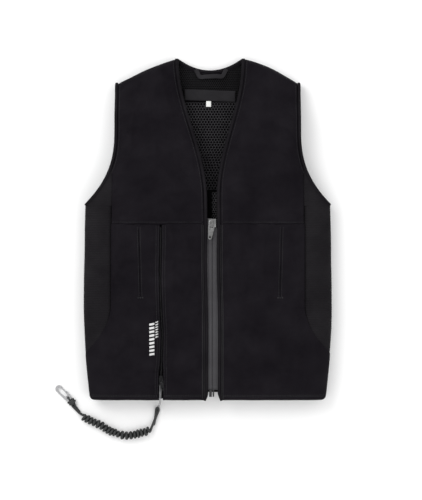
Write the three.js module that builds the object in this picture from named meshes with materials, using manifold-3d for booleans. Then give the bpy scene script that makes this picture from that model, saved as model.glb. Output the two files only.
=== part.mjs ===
// Inflatable safety vest, lying on its back: +X to the wearer's left, +Y to the neck, +Z up.
// Millimetres. The floor is z = 0, and x = 0 is the middle of the body.
import * as THREE from 'three';
import { mergeVertices } from 'three/addons/utils/BufferGeometryUtils.js';
import Module from 'manifold-3d';

const CLEAR = 0.3;

// Body outline
const BODY_LENGTH = 614;
const CHEST_HALF = 224;
const HEM_HALF = 212;
const UNDERARM_HALF = 221.5;
const ARM_HALF = 167;
const ARM_CURVE_HEIGHT = 136;
const ARM_CURVE_POWER = 2.6;
const UNDERARM_DROP = 264;
const SHOULDER_DROP = 48;
const SHOULDER_POWER = 1.6;
const WAIST_RISE = 167;
const NECK_SHIFT = 4;
const NECK_HALF = 57;
const BACK_NECK_DROP = 20;
const V_DEPTH = 288;
const V_TIGHT = 0.88;
const SIDE_SEAM_HALF = 171;
const SIDE_PANEL_RISE = 93;
const CHEST_SEAM_DROP = 298;
const BINDING = 6;

const NECK_Y = BODY_LENGTH / 2;
const HEM_Y = -BODY_LENGTH / 2;
const UNDERARM_Y = NECK_Y - UNDERARM_DROP;
const TIP_Y = NECK_Y - SHOULDER_DROP;
const CHEST_SEAM_Y = NECK_Y - CHEST_SEAM_DROP;
const SIDE_PANEL_Y = HEM_Y + SIDE_PANEL_RISE;

// Thicknesses of the layers, from the floor up
const SHELL = 2;
const AIRBAG = 7;
const LINING = 3;
const CANISTER_D = 24;
const INFLATOR_D = 22;
const BULK_D = Math.max(CANISTER_D, INFLATOR_D);
const POUCH_FLOOR = 0.7;
const POUCH_ROOM = 0.5;
const POUCH_SIDE = 7.2;

const BACK_AIRBAG_Z = SHELL + CLEAR;
const BACK_LINING_Z = BACK_AIRBAG_Z + AIRBAG + CLEAR;
const BACK_TOP = BACK_LINING_Z + LINING;
const LAID_GAP = BULK_D + POUCH_FLOOR + CLEAR - LINING - AIRBAG;
const FRONT_LINING_Z = BACK_TOP + LAID_GAP;
const FRONT_AIRBAG_Z = FRONT_LINING_Z + LINING + CLEAR;
const FRONT_SHELL_Z = FRONT_AIRBAG_Z + AIRBAG + CLEAR;
const FRONT_TOP = FRONT_SHELL_Z + SHELL;

// The front settles onto the back between these two rows, towards the shoulders
const DROP_START_Y = NECK_Y - 102;
const DROP_END_Y = NECK_Y - 67;
const FULL_DROP = LAID_GAP - CLEAR;

// Zips and pockets
const ZIP_X = 8;
const FRONT_EDGE_HALF = 8.7;
const TAPE = 0.7;
const COIL_HEIGHT = 2.2;
const SLIDER_TOP_Y = CHEST_SEAM_Y + 9;
const SLIDER_LENGTH = 15;
const CANISTER_X = -84;
const SLOT_HALF = 3.5;
const POCKET_TOP_X = 123;
const POCKET_LEAN = 3;
const POCKET_DROP = 7;
const POCKET_LENGTH = 124;
const POCKET_SLOT = 4;
const POCKET_BAG_WIDTH = 50;
const POCKET_BAG_LENGTH = 196;

// Left front, which folds open along a slanting line
const FLAP_TOP_Y = NECK_Y - 137;
const FLAP_TOP_X = 51;
const FLAP_HEM_X = 125;
const FOLD_END_GAP = 2.5;
const FOLD_HALF_GAP = 0.4;

// Gas canister and its trigger, along Y under the slot
const CANISTER_TOP_Y = CHEST_SEAM_Y - 9;
const CANISTER_LENGTH = 100;
const NECK_D = 12.7;
const NECK_LENGTH = 16;
const INFLATOR_LENGTH = 70;
const CANISTER_Z = BACK_TOP + CLEAR + POUCH_FLOOR + CLEAR + BULK_D / 2;
const POUCH_HOLLOW_HALF = BULK_D / 2 + POUCH_ROOM;
const POUCH_HALF = POUCH_HOLLOW_HALF + POUCH_SIDE;
const WINDOW_HALF = POUCH_HALF + CLEAR;
const STRIKE = 6;
const BALL_D = 8;
const CABLE_D = 1.5;

// Lanyard
const COIL_D = 16;
const CORD_PAIR_WIDTH = 8.6;
const CORD_PAIR_HEIGHT = 5.2;
const HOOK_LENGTH = 34;
const HOOK_WIDTH = 13;
const HOOK_THICK = 4;

const MATERIALS = {
  shell: material(0x1e1d1f, 0.85, 0),
  lining: material(0x2c2c2e, 0.95, 0),
  ribs: material(0x242426, 0.95, 0),
  airbag: material(0x4a4d52, 0.6, 0),
  binding: material(0x19191b, 0.8, 0),
  band: material(0x2d2d30, 0.9, 0),
  label: material(0xe4e4e2, 0.9, 0),
  tape: material(0x4b4b4e, 0.9, 0),
  coil: material(0x303032, 0.5, 0),
  nickel: material(0xb4b4b2, 0.35, 1),
  darkMetal: material(0x3a3a3c, 0.45, 1),
  steel: material(0xc8c8c8, 0.25, 1),
  canister: material(0x9c9fa3, 0.35, 1),
  plastic: material(0x202124, 0.5, 0),
  rubber: material(0x18181a, 0.9, 0),
  cord: material(0x2d3030, 0.45, 0),
};

function material(color, roughness, metalness) {
  return new THREE.MeshStandardMaterial({ color, roughness, metalness });
}

// ---- Shape helpers ----

const wasm = await Module();
wasm.setup();

const mix = (from, to, share) => from + (to - from) * share;

// Only positions are kept, shared points are merged, and triangles that close up on a pole are left out.
function plainShape(geometry) {
  const plain = geometry.clone();
  plain.deleteAttribute('normal');
  plain.deleteAttribute('uv');
  const merged = mergeVertices(plain, 1e-4);
  const corners = merged.index.array;
  const kept = [];
  for (let i = 0; i < corners.length; i += 3) {
    const [a, b, c] = [corners[i], corners[i + 1], corners[i + 2]];
    if (a !== b && b !== c && c !== a) kept.push(a, b, c);
  }
  merged.setIndex(kept);
  return merged;
}

function toSolid(geometry) {
  const plain = facingOut(plainShape(geometry));
  const vertProperties = new Float32Array(plain.attributes.position.array);
  const triVerts = new Uint32Array(plain.index.array);
  return new wasm.Manifold(new wasm.Mesh({ numProp: 3, vertProperties, triVerts }));
}

function toGeometry(solid) {
  const mesh = solid.getMesh();
  const geometry = new THREE.BufferGeometry();
  geometry.setAttribute('position', new THREE.BufferAttribute(mesh.vertProperties, 3));
  geometry.setIndex(new THREE.BufferAttribute(mesh.triVerts, 1));
  return geometry;
}

function joined(first, ...others) {
  return toGeometry(others.reduce((solid, other) => solid.add(toSolid(other)), toSolid(first)));
}

function cut(first, ...others) {
  return toGeometry(others.reduce((solid, other) => solid.subtract(toSolid(other)), toSolid(first)));
}

// A mirrored or turned grid can come out inside out: its volume says so, and its faces are flipped.
function facingOut(geometry) {
  const points = geometry.attributes.position;
  const corners = geometry.index.array;
  const [a, b, c] = [new THREE.Vector3(), new THREE.Vector3(), new THREE.Vector3()];
  let volume = 0;
  for (let i = 0; i < corners.length; i += 3) {
    a.fromBufferAttribute(points, corners[i]);
    b.fromBufferAttribute(points, corners[i + 1]);
    c.fromBufferAttribute(points, corners[i + 2]);
    volume += a.dot(b.cross(c));
  }
  if (volume < 0) {
    for (let i = 0; i < corners.length; i += 3) {
      [corners[i + 1], corners[i + 2]] = [corners[i + 2], corners[i + 1]];
    }
  }
  return geometry;
}

// A box of columns x rows x layers cells whose points are moved to place(u, v, w), each 0 to 1.
function bentBox(columns, rows, layers, place) {
  const box = new THREE.BoxGeometry(1, 1, 1, columns, rows, layers);
  const points = box.attributes.position;
  for (let i = 0; i < points.count; i += 1) {
    const [u, v, w] = [points.getX(i) + 0.5, points.getY(i) + 0.5, points.getZ(i) + 0.5];
    points.setXYZ(i, ...place(u, v, w));
  }
  return facingOut(plainShape(box));
}

function block(x0, x1, y0, y1, z0, z1) {
  const box = new THREE.BoxGeometry(x1 - x0, y1 - y0, z1 - z0);
  return box.translate((x0 + x1) / 2, (y0 + y1) / 2, (z0 + z1) / 2);
}

// A lathe turned about the canister's own line, from [radius, y] pairs.
function turned(profile, segments = 24) {
  const outline = profile.map(([radius, y]) => new THREE.Vector2(radius, y));
  return new THREE.LatheGeometry(outline, segments).translate(CANISTER_X, 0, CANISTER_Z);
}

function ring(inner, outer, y0, y1) {
  return turned([[inner, y0], [outer, y0], [outer, y1], [inner, y1], [inner, y0]]);
}

function tube(curve, radius, sides, steps) {
  const section = new THREE.Shape();
  for (let i = 0; i < sides; i += 1) {
    const angle = (i / sides) * 2 * Math.PI;
    const point = [radius * Math.cos(angle), radius * Math.sin(angle)];
    if (i === 0) section.moveTo(...point);
    else section.lineTo(...point);
  }
  section.closePath();
  return new THREE.ExtrudeGeometry(section, { extrudePath: curve, steps, bevelEnabled: false });
}

// ---- Outline of the vest ----

function sideHalf(y) {
  const rise = Math.min(1, (y - HEM_Y) / WAIST_RISE);
  const waist = mix(HEM_HALF, CHEST_HALF, Math.sin((rise * Math.PI) / 2));
  const taper = Math.max(0, (y - HEM_Y - WAIST_RISE) / (UNDERARM_Y - HEM_Y - WAIST_RISE));
  return waist - (CHEST_HALF - UNDERARM_HALF) * taper ** 2;
}

function armHalf(y) {
  const share = Math.max(0, 1 - (y - UNDERARM_Y) / ARM_CURVE_HEIGHT);
  return ARM_HALF + (UNDERARM_HALF - ARM_HALF) * share ** ARM_CURVE_POWER;
}

// Half of the body cloth's width: to the side seam, and past it to the binding above the underarm
function clothHalf(y) {
  return y < UNDERARM_Y ? SIDE_SEAM_HALF : armHalf(y) - BINDING - CLEAR;
}

function neckHalf(y) {
  const depth = Math.min(1, (NECK_Y - y) / V_DEPTH / V_TIGHT);
  return FRONT_EDGE_HALF + ((NECK_HALF - FRONT_EDGE_HALF) * (1 + Math.cos(Math.PI * depth))) / 2;
}

function neckCentre(y) {
  return mix(NECK_SHIFT, ZIP_X, Math.min(1, (NECK_Y - y) / V_DEPTH));
}

// Front edge of one side: side is -1 on the wearer's right and 1 on the left
const frontEdge = (side, y) => neckCentre(y) + side * neckHalf(y);

function shoulderY(x) {
  const side = Math.sign(x - NECK_SHIFT);
  const corner = NECK_SHIFT + side * NECK_HALF;
  const along = Math.min(1, Math.max(0, (x - corner) / (side * ARM_HALF - corner)));
  return TIP_Y + SHOULDER_DROP * (1 - along ** SHOULDER_POWER);
}

function backNeckY(x) {
  const across = (x - NECK_SHIFT) / NECK_HALF;
  return NECK_Y - BACK_NECK_DROP * (1 - across ** 2);
}

function backTopY(x) {
  const bound = Math.abs(x - NECK_SHIFT) < NECK_HALF - BINDING;
  return bound ? backNeckY(x) - BINDING - CLEAR : shoulderY(x);
}

function frontDrop(y) {
  const share = (y - DROP_START_Y) / (DROP_END_Y - DROP_START_Y);
  return FULL_DROP * Math.min(1, Math.max(0, share));
}

function foldX(y) {
  return mix(FLAP_HEM_X, FLAP_TOP_X, (y - HEM_Y) / (FLAP_TOP_Y - HEM_Y));
}

// Every layer bends at the same rows, so that neighbours along a curved edge keep their gap.
const ROWS = 16;
const SEAM_GAP = CLEAR / 2;
const SHOULDER_ROW_Y = TIP_Y - 4;
const AIRBAG_CHEST_Y = CHEST_SEAM_Y + 3;
const BENDS = [
  SIDE_PANEL_Y, CHEST_SEAM_Y - SEAM_GAP, CHEST_SEAM_Y + SEAM_GAP, AIRBAG_CHEST_Y - 2, AIRBAG_CHEST_Y,
  UNDERARM_Y - CLEAR, UNDERARM_Y + CLEAR, FLAP_TOP_Y, FLAP_TOP_Y + FOLD_END_GAP,
  DROP_START_Y, DROP_END_Y, SHOULDER_ROW_Y,
];

function allRows() {
  const rows = [...BENDS];
  for (let i = 0; i <= ROWS; i += 1) {
    const y = mix(HEM_Y, NECK_Y, i / ROWS);
    if (y < SHOULDER_ROW_Y && BENDS.every((bend) => Math.abs(bend - y) > 4)) rows.push(y);
  }
  return rows.sort((a, b) => a - b);
}

const ROW_LEVELS = allRows();
function rowsBetween(low, high) {
  const inside = ROW_LEVELS.filter((y) => y > low + 0.1 && y < high - 0.1);
  return [low, ...inside, high];
}

// One flat layer of cloth between two edges. topY, if given, adds a yoke up to that curve, whose
// columns stand at shares of its width.
function layer({ low, high, left, right, under, thick, topY = null, shares = [0, 1], drop = frontDrop }) {
  const rows = rowsBetween(low, high);
  const body = bentBox(1, rows.length - 1, 1, (u, v, w) => {
    const y = rows[Math.round(v * (rows.length - 1))];
    return [mix(left(y), right(y), u), y, under - drop(y) + w * thick];
  });
  if (!topY) return body;
  const yoke = bentBox(shares.length - 1, 1, 1, (u, v, w) => {
    const level = v < 0.5 ? high : NECK_Y;
    const x = mix(left(level), right(level), shares[Math.round(u * (shares.length - 1))]);
    return [x, v < 0.5 ? high : topY(x), under - drop(high) + w * thick];
  });
  return joined(body, yoke);
}

const flat = () => 0;
const LINING_HALF = SIDE_SEAM_HALF - 1;
const AIRBAG_HALF = SIDE_SEAM_HALF - 11;
const insideCloth = (limit) => (y) => Math.min(limit, clothHalf(y));

// ---- Back ----

const NECK_COLUMNS = 10;
const NECK_BINDING_HALF = NECK_HALF - BINDING - 1;

// Columns of the back: evenly round the neck, under its binding, and wider over the shoulders
function backShares() {
  const edge = clothHalf(NECK_Y);
  const columns = [-edge, -edge * 0.83, -edge * 0.66, -edge * 0.5, NECK_SHIFT - NECK_HALF];
  columns.push(NECK_SHIFT - NECK_BINDING_HALF - CLEAR);
  for (let i = 0; i <= NECK_COLUMNS; i += 1) {
    columns.push(NECK_SHIFT + mix(-NECK_BINDING_HALF, NECK_BINDING_HALF, i / NECK_COLUMNS));
  }
  columns.push(NECK_SHIFT + NECK_BINDING_HALF + CLEAR);
  columns.push(NECK_SHIFT + NECK_HALF, edge * 0.5, edge * 0.66, edge * 0.83, edge);
  return columns.map((x) => (x + edge) / (2 * edge));
}

function backLayer(half, low, high, topY, under, thick) {
  const left = (y) => -half(y);
  const shares = topY ? backShares() : [0, 1];
  return layer({ low, high, left, right: half, under, thick, topY, shares, drop: flat });
}

function backShell() {
  return backLayer(clothHalf, HEM_Y, SHOULDER_ROW_Y, backTopY, 0, SHELL);
}

function backAirbag() {
  const low = HEM_Y + 34;
  return backLayer(insideCloth(AIRBAG_HALF), low, SHOULDER_ROW_Y - 20, null, BACK_AIRBAG_Z, AIRBAG);
}

const LINING_SPLIT_Y = NECK_Y - 233;

function backLiningUpper() {
  const low = LINING_SPLIT_Y + SEAM_GAP;
  return backLayer(insideCloth(LINING_HALF), low, SHOULDER_ROW_Y, backTopY, BACK_LINING_Z, LINING);
}

function backLiningLower() {
  const high = LINING_SPLIT_Y - SEAM_GAP;
  return backLayer(insideCloth(LINING_HALF), HEM_Y, high, null, BACK_LINING_Z, LINING);
}

const BAND_TOP_Y = NECK_Y - 56;
const BAND_HEIGHT = 20;
const BAND_HALF = 46;

function backBand() {
  const [low, high] = [BAND_TOP_Y - BAND_HEIGHT, BAND_TOP_Y];
  const [left, right] = [NECK_SHIFT - BAND_HALF, NECK_SHIFT + BAND_HALF];
  return block(left, right, low, high, BACK_TOP + CLEAR, BACK_TOP + CLEAR + LINING);
}

const LABEL_WIDTH = 9;
const LABEL_HEIGHT = 10;

function sizeLabel() {
  const top = BAND_TOP_Y - BAND_HEIGHT - CLEAR;
  const left = NECK_SHIFT - 7;
  return block(left, left + LABEL_WIDTH, top - LABEL_HEIGHT, top, BACK_TOP + CLEAR, BACK_TOP + CLEAR + 0.5);
}

const LOOP_WIDTH = 54;
const LOOP_HEIGHT = 10;
const LOOP_THICK = 1.2;
const LOOP_RISE = 8;
const LOOP_TOP_Y = NECK_Y - 27;

// The loop's two ends lie on the lining and its middle stands up, like a low bridge.
function hangerLoop() {
  const centre = NECK_SHIFT + 2;
  return bentBox(16, 1, 1, (u, v, w) => {
    const arch = Math.sin(Math.PI * Math.min(1, Math.max(0, (u - 0.12) / 0.76)));
    const x = centre + (u - 0.5) * LOOP_WIDTH;
    return [x, LOOP_TOP_Y - LOOP_HEIGHT * v, BACK_TOP + CLEAR + LOOP_RISE * arch + w * LOOP_THICK];
  });
}

function backNeckBinding() {
  return bentBox(NECK_COLUMNS, 1, 1, (u, v, w) => {
    const x = NECK_SHIFT + mix(-NECK_BINDING_HALF, NECK_BINDING_HALF, u);
    return [x, backNeckY(x) - BINDING * (1 - v), w * BACK_TOP];
  });
}

// ---- Sides: a panel folded round the edge of the laid body, front leaf to back leaf ----

const SIDE_ROUND = 2.5;

function foldedSide(side, low, high) {
  const rows = rowsBetween(low, high);
  const middle = FRONT_TOP / 2;
  return bentBox(12, rows.length - 1, 1, (u, v, w) => {
    const y = rows[Math.round(v * (rows.length - 1))];
    const angle = (0.5 - u) * Math.PI;
    const depth = (1 - w) * SHELL;
    const reach = sideHalf(y) - SIDE_SEAM_HALF - CLEAR - depth;
    const across = Math.abs(Math.cos(angle)) ** (2 / SIDE_ROUND);
    const up = Math.sign(angle) * Math.abs(Math.sin(angle)) ** (2 / SIDE_ROUND);
    const x = SIDE_SEAM_HALF + CLEAR + reach * across;
    return [side * x, y, middle + (middle - depth) * up];
  });
}

function sidePanel(side) {
  return foldedSide(side, SIDE_PANEL_Y + SEAM_GAP, UNDERARM_Y - 2 * CLEAR);
}

function hemSideWrap(side) {
  return foldedSide(side, HEM_Y, SIDE_PANEL_Y - SEAM_GAP);
}

// The armhole's binding runs up the front edge, over the shoulder tip and down the back edge.
function armholeBinding(side) {
  const low = UNDERARM_Y + CLEAR;
  const frontRows = rowsBetween(low, TIP_Y - BINDING);
  const front = frontRows.map((y) => [y, FRONT_LINING_Z - frontDrop(y), y, FRONT_TOP - frontDrop(y)]);
  const crown = [
    [TIP_Y - BINDING, BACK_TOP + CLEAR / 2, TIP_Y - 1, FRONT_TOP - FULL_DROP - 3],
    [TIP_Y - BINDING - 0.5, BACK_TOP + CLEAR / 2, TIP_Y - 1, 3],
  ];
  const back = [...frontRows].reverse().map((y) => [y - 1, BACK_TOP, y, 0]);
  back[back.length - 1] = [low, BACK_TOP, low, 0];
  const path = [...front, ...crown, ...back];
  return bentBox(1, path.length - 1, 1, (u, v, w) => {
    const [innerY, innerZ, outerY, outerZ] = path[Math.round(v * (path.length - 1))];
    const y = mix(innerY, outerY, w);
    return [side * (armHalf(y) - BINDING * u), y, mix(innerZ, outerZ, w)];
  });
}

// ---- Fronts ----

const bindingEdge = (side) => (y) => frontEdge(side, y) + side * (BINDING + CLEAR);
const sideEdge = (side, limit) => (y) => side * Math.min(limit, clothHalf(y));

const SHOULDER_SHARES = [0, 0.125, 0.25, 0.375, 0.5, 0.625, 0.75, 0.875, 1];

function frontLayer([left, right], low, high, under, thick) {
  return layer({ low, high, left, right, under, thick });
}

function shoulderLayer([left, right], low, under, thick) {
  const high = SHOULDER_ROW_Y;
  return layer({ low, high, left, right, under, thick, topY: shoulderY, shares: SHOULDER_SHARES });
}

const CHEST_LOW = CHEST_SEAM_Y + SEAM_GAP;
const PANEL_HIGH = CHEST_SEAM_Y - SEAM_GAP;

function rightChestPanel() {
  const edges = [sideEdge(-1, Infinity), bindingEdge(-1)];
  return shoulderLayer(edges, CHEST_LOW, FRONT_SHELL_Z, SHELL);
}

const pocketX = (side) => (side < 0 ? -POCKET_TOP_X : POCKET_TOP_X + 9);
const POCKET_TOP_Y = CHEST_SEAM_Y - POCKET_DROP;

// A slit leaning outwards as it rises, seen from above, as a slanting bar
function slit(side, width, trim, z0, z1) {
  return bentBox(1, 1, 1, (u, v, w) => {
    const y = mix(POCKET_TOP_Y - POCKET_LENGTH + trim, POCKET_TOP_Y - trim, v);
    const lean = side * POCKET_LEAN * (v - 1);
    return [pocketX(side) + lean + (u - 0.5) * width, y, mix(z0, z1, w)];
  });
}

const pocketOpening = (side) => slit(side, POCKET_SLOT, 0, FRONT_SHELL_Z - 1, FRONT_TOP + 1);
const handPocketZip = (side) => slit(side, POCKET_SLOT - 2 * CLEAR, CLEAR, FRONT_SHELL_Z, FRONT_TOP - 0.2);

function handPocketBag(side) {
  const middle = pocketX(side) + side * 11;
  const half = POCKET_BAG_WIDTH / 2;
  const top = CHEST_SEAM_Y - 9;
  const z = [FRONT_AIRBAG_Z, FRONT_AIRBAG_Z + AIRBAG];
  return block(middle - half, middle + half, top - POCKET_BAG_LENGTH, top, ...z);
}

function rightLowerSidePanel() {
  const edges = [sideEdge(-1, Infinity), () => CANISTER_X - SLOT_HALF];
  const panel = frontLayer(edges, HEM_Y, PANEL_HIGH, FRONT_SHELL_Z, SHELL);
  return cut(panel, pocketOpening(-1));
}

function rightLowerCentrePanel() {
  const edges = [() => CANISTER_X + SLOT_HALF, bindingEdge(-1)];
  return frontLayer(edges, HEM_Y, PANEL_HIGH, FRONT_SHELL_Z, SHELL);
}

// Everything of the canister and its pouch passes up through this window in the lining.
function liningWindow() {
  const z = [FRONT_LINING_Z - 1, FRONT_LINING_Z + LINING + 1];
  const across = [CANISTER_X - WINDOW_HALF, CANISTER_X + WINDOW_HALF];
  const low = Math.min(HEM_Y + 15, FERRULE_LOW_Y - 5);
  return block(...across, low, CANISTER_TOP_Y + 12, ...z);
}

function rightFrontLining() {
  const edges = [sideEdge(-1, LINING_HALF), bindingEdge(-1)];
  const lining = shoulderLayer(edges, HEM_Y, FRONT_LINING_Z, LINING);
  return cut(lining, liningWindow());
}

const AIRBAG_LOW_Y = HEM_Y + 17;
const AIRBAG_ZIP_GAP = 11;
const AIRBAG_STRIP_X = CANISTER_X + WINDOW_HALF + 4;

// Below the chest the right bag is a strip beside the zip: the canister takes the rest.
function rightFrontAirbag() {
  const outer = (y) => (y < AIRBAG_CHEST_Y ? AIRBAG_STRIP_X : -Math.min(AIRBAG_HALF, clothHalf(y)));
  const inner = (y) => frontEdge(-1, y) - BINDING - AIRBAG_ZIP_GAP;
  return frontLayer([outer, inner], AIRBAG_LOW_Y, SHOULDER_ROW_Y - 10, FRONT_AIRBAG_Z, AIRBAG);
}

function frontBinding(side, low, high) {
  const edge = (y) => frontEdge(side, y);
  const outer = (y) => frontEdge(side, y) + side * BINDING;
  return frontLayer([edge, outer], low, high, FRONT_LINING_Z, FRONT_TOP - FRONT_LINING_Z);
}

// The left front is split along the fold line: what lies inside it swings with the flap.
const insideFold = (y) => foldX(y) - FOLD_HALF_GAP;

function beyondFold(y) {
  return y < FLAP_TOP_Y + FOLD_END_GAP ? foldX(Math.min(y, FLAP_TOP_Y)) + FOLD_HALF_GAP : bindingEdge(1)(y);
}

function leftChestPanelFront() {
  return frontLayer([bindingEdge(1), insideFold], CHEST_LOW, FLAP_TOP_Y, FRONT_SHELL_Z, SHELL);
}

function leftChestPanelSide() {
  const edges = [beyondFold, sideEdge(1, Infinity)];
  return shoulderLayer(edges, CHEST_LOW, FRONT_SHELL_Z, SHELL);
}

function leftLowerPanelFront() {
  return frontLayer([bindingEdge(1), insideFold], HEM_Y, PANEL_HIGH, FRONT_SHELL_Z, SHELL);
}

function leftLowerPanelSide() {
  const edges = [beyondFold, sideEdge(1, Infinity)];
  const panel = frontLayer(edges, HEM_Y, PANEL_HIGH, FRONT_SHELL_Z, SHELL);
  return cut(panel, pocketOpening(1));
}

function leftLiningFront() {
  return frontLayer([bindingEdge(1), insideFold], HEM_Y, FLAP_TOP_Y, FRONT_LINING_Z, LINING);
}

function leftLiningSide() {
  const edges = [beyondFold, sideEdge(1, LINING_HALF)];
  return shoulderLayer(edges, HEM_Y, FRONT_LINING_Z, LINING);
}

const AIRBAG_FOLD_GAP = 4;

function leftFrontAirbag() {
  const inner = (y) => frontEdge(1, y) + BINDING + AIRBAG_ZIP_GAP;
  const outer = (y) => foldX(y) - AIRBAG_FOLD_GAP;
  const high = CHEST_SEAM_Y + 110;
  return frontLayer([inner, outer], AIRBAG_LOW_Y, high, FRONT_AIRBAG_Z, AIRBAG);
}

// The rest of that bag lies above the pocket, over the chest and up the shoulder.
function leftShoulderAirbag() {
  const limit = (y) => (y < DROP_START_Y ? foldX(Math.min(y, FLAP_TOP_Y)) : bindingEdge(1)(y));
  const inner = (y) => limit(y) + AIRBAG_FOLD_GAP;
  const edges = [inner, sideEdge(1, AIRBAG_HALF)];
  return frontLayer(edges, AIRBAG_CHEST_Y, SHOULDER_ROW_Y - 10, FRONT_AIRBAG_Z, AIRBAG);
}

// ---- Main zip ----

const TAPE_Z = FRONT_SHELL_Z - CLEAR - TAPE;
const COIL_Z = TAPE_Z - COIL_HEIGHT;
const SLIDER_LOW_Y = SLIDER_TOP_Y - SLIDER_LENGTH;
const ZIP_GAP_HALF = 0.6;
const COIL_WIDTH = 3.7;
const SLIDER_HALF = 6.6;
const SLIDER_PLATE = 1.4;
const ZIP_BOX_LOW_Y = HEM_Y + 7;
const ZIP_BOX_TOP_Y = HEM_Y + 19;
const ZIP_BOX_WIDTH = 5.5;
const ZIP_PIN_WIDTH = 3.4;

// A block on one side of the zip's line, between two distances from it
function bar(side, near, far, ...rest) {
  const [a, b] = side > 0 ? [near, far] : [-far, -near];
  return block(ZIP_X + a, ZIP_X + b, ...rest);
}

// One side of the zip: the tape with its row of teeth underneath
function zipSide(side, top) {
  const low = ZIP_BOX_TOP_Y + CLEAR;
  const near = ZIP_GAP_HALF + CLEAR;
  const tape = bar(side, ZIP_GAP_HALF, FRONT_EDGE_HALF - CLEAR, low, top, TAPE_Z, TAPE_Z + TAPE);
  const teeth = bar(side, near, near + COIL_WIDTH, low, top, COIL_Z, TAPE_Z + TAPE / 2);
  return joined(tape, teeth);
}

const zipEnd = (side, width, top) =>
  bar(side, ZIP_GAP_HALF, width, ZIP_BOX_LOW_Y, ZIP_BOX_TOP_Y, COIL_Z, top);
const zipBox = () => zipEnd(-1, ZIP_BOX_WIDTH, FRONT_SHELL_Z + SLIDER_PLATE);
const zipPin = () => zipEnd(1, ZIP_PIN_WIDTH, FRONT_SHELL_Z);

// A bridge on a slider's top plate: an arch along Y that the pull's crosspiece passes under
function bridge(x, halfWidth, low, high, z0, z1) {
  const leg = 1.5;
  const arch = block(x - halfWidth, x + halfWidth, low, high, z0 - 0.2, z1);
  const way = block(x - halfWidth - 1, x + halfWidth + 1, low + leg, high - leg, z0 + CLEAR, z1 - 1.2);
  return cut(arch, way);
}

const BRIDGE_LOW_Y = SLIDER_LOW_Y + 1.5;
const BRIDGE_TOP_Y = SLIDER_TOP_Y - 1.5;
const SLIDER_TOP_Z = FRONT_SHELL_Z + SLIDER_PLATE;
const PULL_THICK = 1.4;
const PULL_Z = SLIDER_TOP_Z + 0.9;
const PULL_AXIS_Y = BRIDGE_TOP_Y - 2.8;

function mainZipSlider() {
  const across = [ZIP_X - SLIDER_HALF, ZIP_X + SLIDER_HALF, SLIDER_LOW_Y, SLIDER_TOP_Y];
  const topPlate = block(...across, FRONT_SHELL_Z, SLIDER_TOP_Z);
  const floor = COIL_Z - CLEAR;
  const lowPlate = block(...across, floor - SLIDER_PLATE, floor);
  const blade = bar(1, -CLEAR, CLEAR, SLIDER_LOW_Y, SLIDER_TOP_Y, floor - 0.5, FRONT_SHELL_Z + 0.5);
  const arch = bridge(ZIP_X, 1, BRIDGE_LOW_Y, BRIDGE_TOP_Y, SLIDER_TOP_Z, PULL_Z + PULL_THICK + 1.9);
  return joined(topPlate, blade, lowPlate, arch);
}

// A flat pull with a long slot at its head: the slot's end bar lies under the slider's bridge.
function zipPull({ x, axisY, z, length, headHalf, tipHalf, slotLength, slotHalf, thick, skew, hole }) {
  const outline = new THREE.Shape();
  const waist = -slotLength - thick;
  outline.moveTo(-headHalf, thick / 2);
  outline.lineTo(-headHalf, waist);
  outline.absarc(0, tipHalf - length, tipHalf, Math.PI, 2 * Math.PI, false);
  outline.lineTo(headHalf, waist);
  outline.lineTo(headHalf, thick / 2);
  outline.closePath();
  const slot = new THREE.Path();
  slot.moveTo(-slotHalf, -thick / 2);
  slot.lineTo(slotHalf, -thick / 2);
  slot.lineTo(slotHalf, -slotLength);
  slot.lineTo(-slotHalf, -slotLength);
  slot.closePath();
  const eye = new THREE.Path();
  eye.absarc(0, tipHalf + 1 - length, hole, 0, 2 * Math.PI, true);
  outline.holes.push(slot, eye);
  const extrude = { depth: thick, bevelEnabled: false, curveSegments: 10 };
  return new THREE.ExtrudeGeometry(outline, extrude).rotateZ(skew).translate(x, axisY, z);
}

function mainZipPull() {
  return zipPull({
    x: ZIP_X, axisY: PULL_AXIS_Y, z: PULL_Z, length: 33, headHalf: 5.5, tipHalf: 3.4,
    slotLength: 11.5, slotHalf: 3, thick: PULL_THICK, skew: -0.14, hole: 1.8,
  });
}

// ---- Canister zip: a closed chain in the slot, with its slider at the hem end ----

const CHAIN_TOP_Y = CHEST_SEAM_Y - 4;
const CHAIN_LOW_Y = HEM_Y + 45;
const CHAIN_TAPE = 0.5;
const SADDLE_LENGTH = 9;
const SADDLE_Z = FRONT_TOP + CLEAR;

function canisterZipChain() {
  const tapeHalf = SLOT_HALF - CLEAR;
  const tape = block(CANISTER_X - tapeHalf, CANISTER_X + tapeHalf, CHAIN_LOW_Y, CHAIN_TOP_Y,
    FRONT_SHELL_Z, FRONT_SHELL_Z + CHAIN_TAPE);
  const coil = block(CANISTER_X - 1.5, CANISTER_X + 1.5, CHAIN_LOW_Y, CHAIN_TOP_Y,
    FRONT_SHELL_Z + 0.2, FRONT_TOP);
  return joined(tape, coil);
}

const SADDLE_TOP_Y = CHAIN_LOW_Y - CLEAR;
const SADDLE_TOP_Z = SADDLE_Z + 1.1;
const SADDLE_PULL_Z = SADDLE_TOP_Z + 0.8;
const SADDLE_AXIS_Y = SADDLE_TOP_Y - 3.7;
const SADDLE_HALF = 3;

function canisterZipSlider() {
  const low = SADDLE_TOP_Y - SADDLE_LENGTH;
  const [left, right] = [CANISTER_X - SADDLE_HALF, CANISTER_X + SADDLE_HALF];
  const saddle = block(left, right, low, SADDLE_TOP_Y, FRONT_SHELL_Z + 0.8, SADDLE_TOP_Z);
  const way = block(CANISTER_X - 1.9, CANISTER_X + 1.9, low - 1, SADDLE_TOP_Y + 1, FRONT_SHELL_Z, SADDLE_Z);
  const arch = bridge(CANISTER_X, 0.8, low + 1, SADDLE_TOP_Y - 1, SADDLE_TOP_Z, SADDLE_PULL_Z + 2.8);
  return joined(cut(saddle, way), arch);
}

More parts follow.
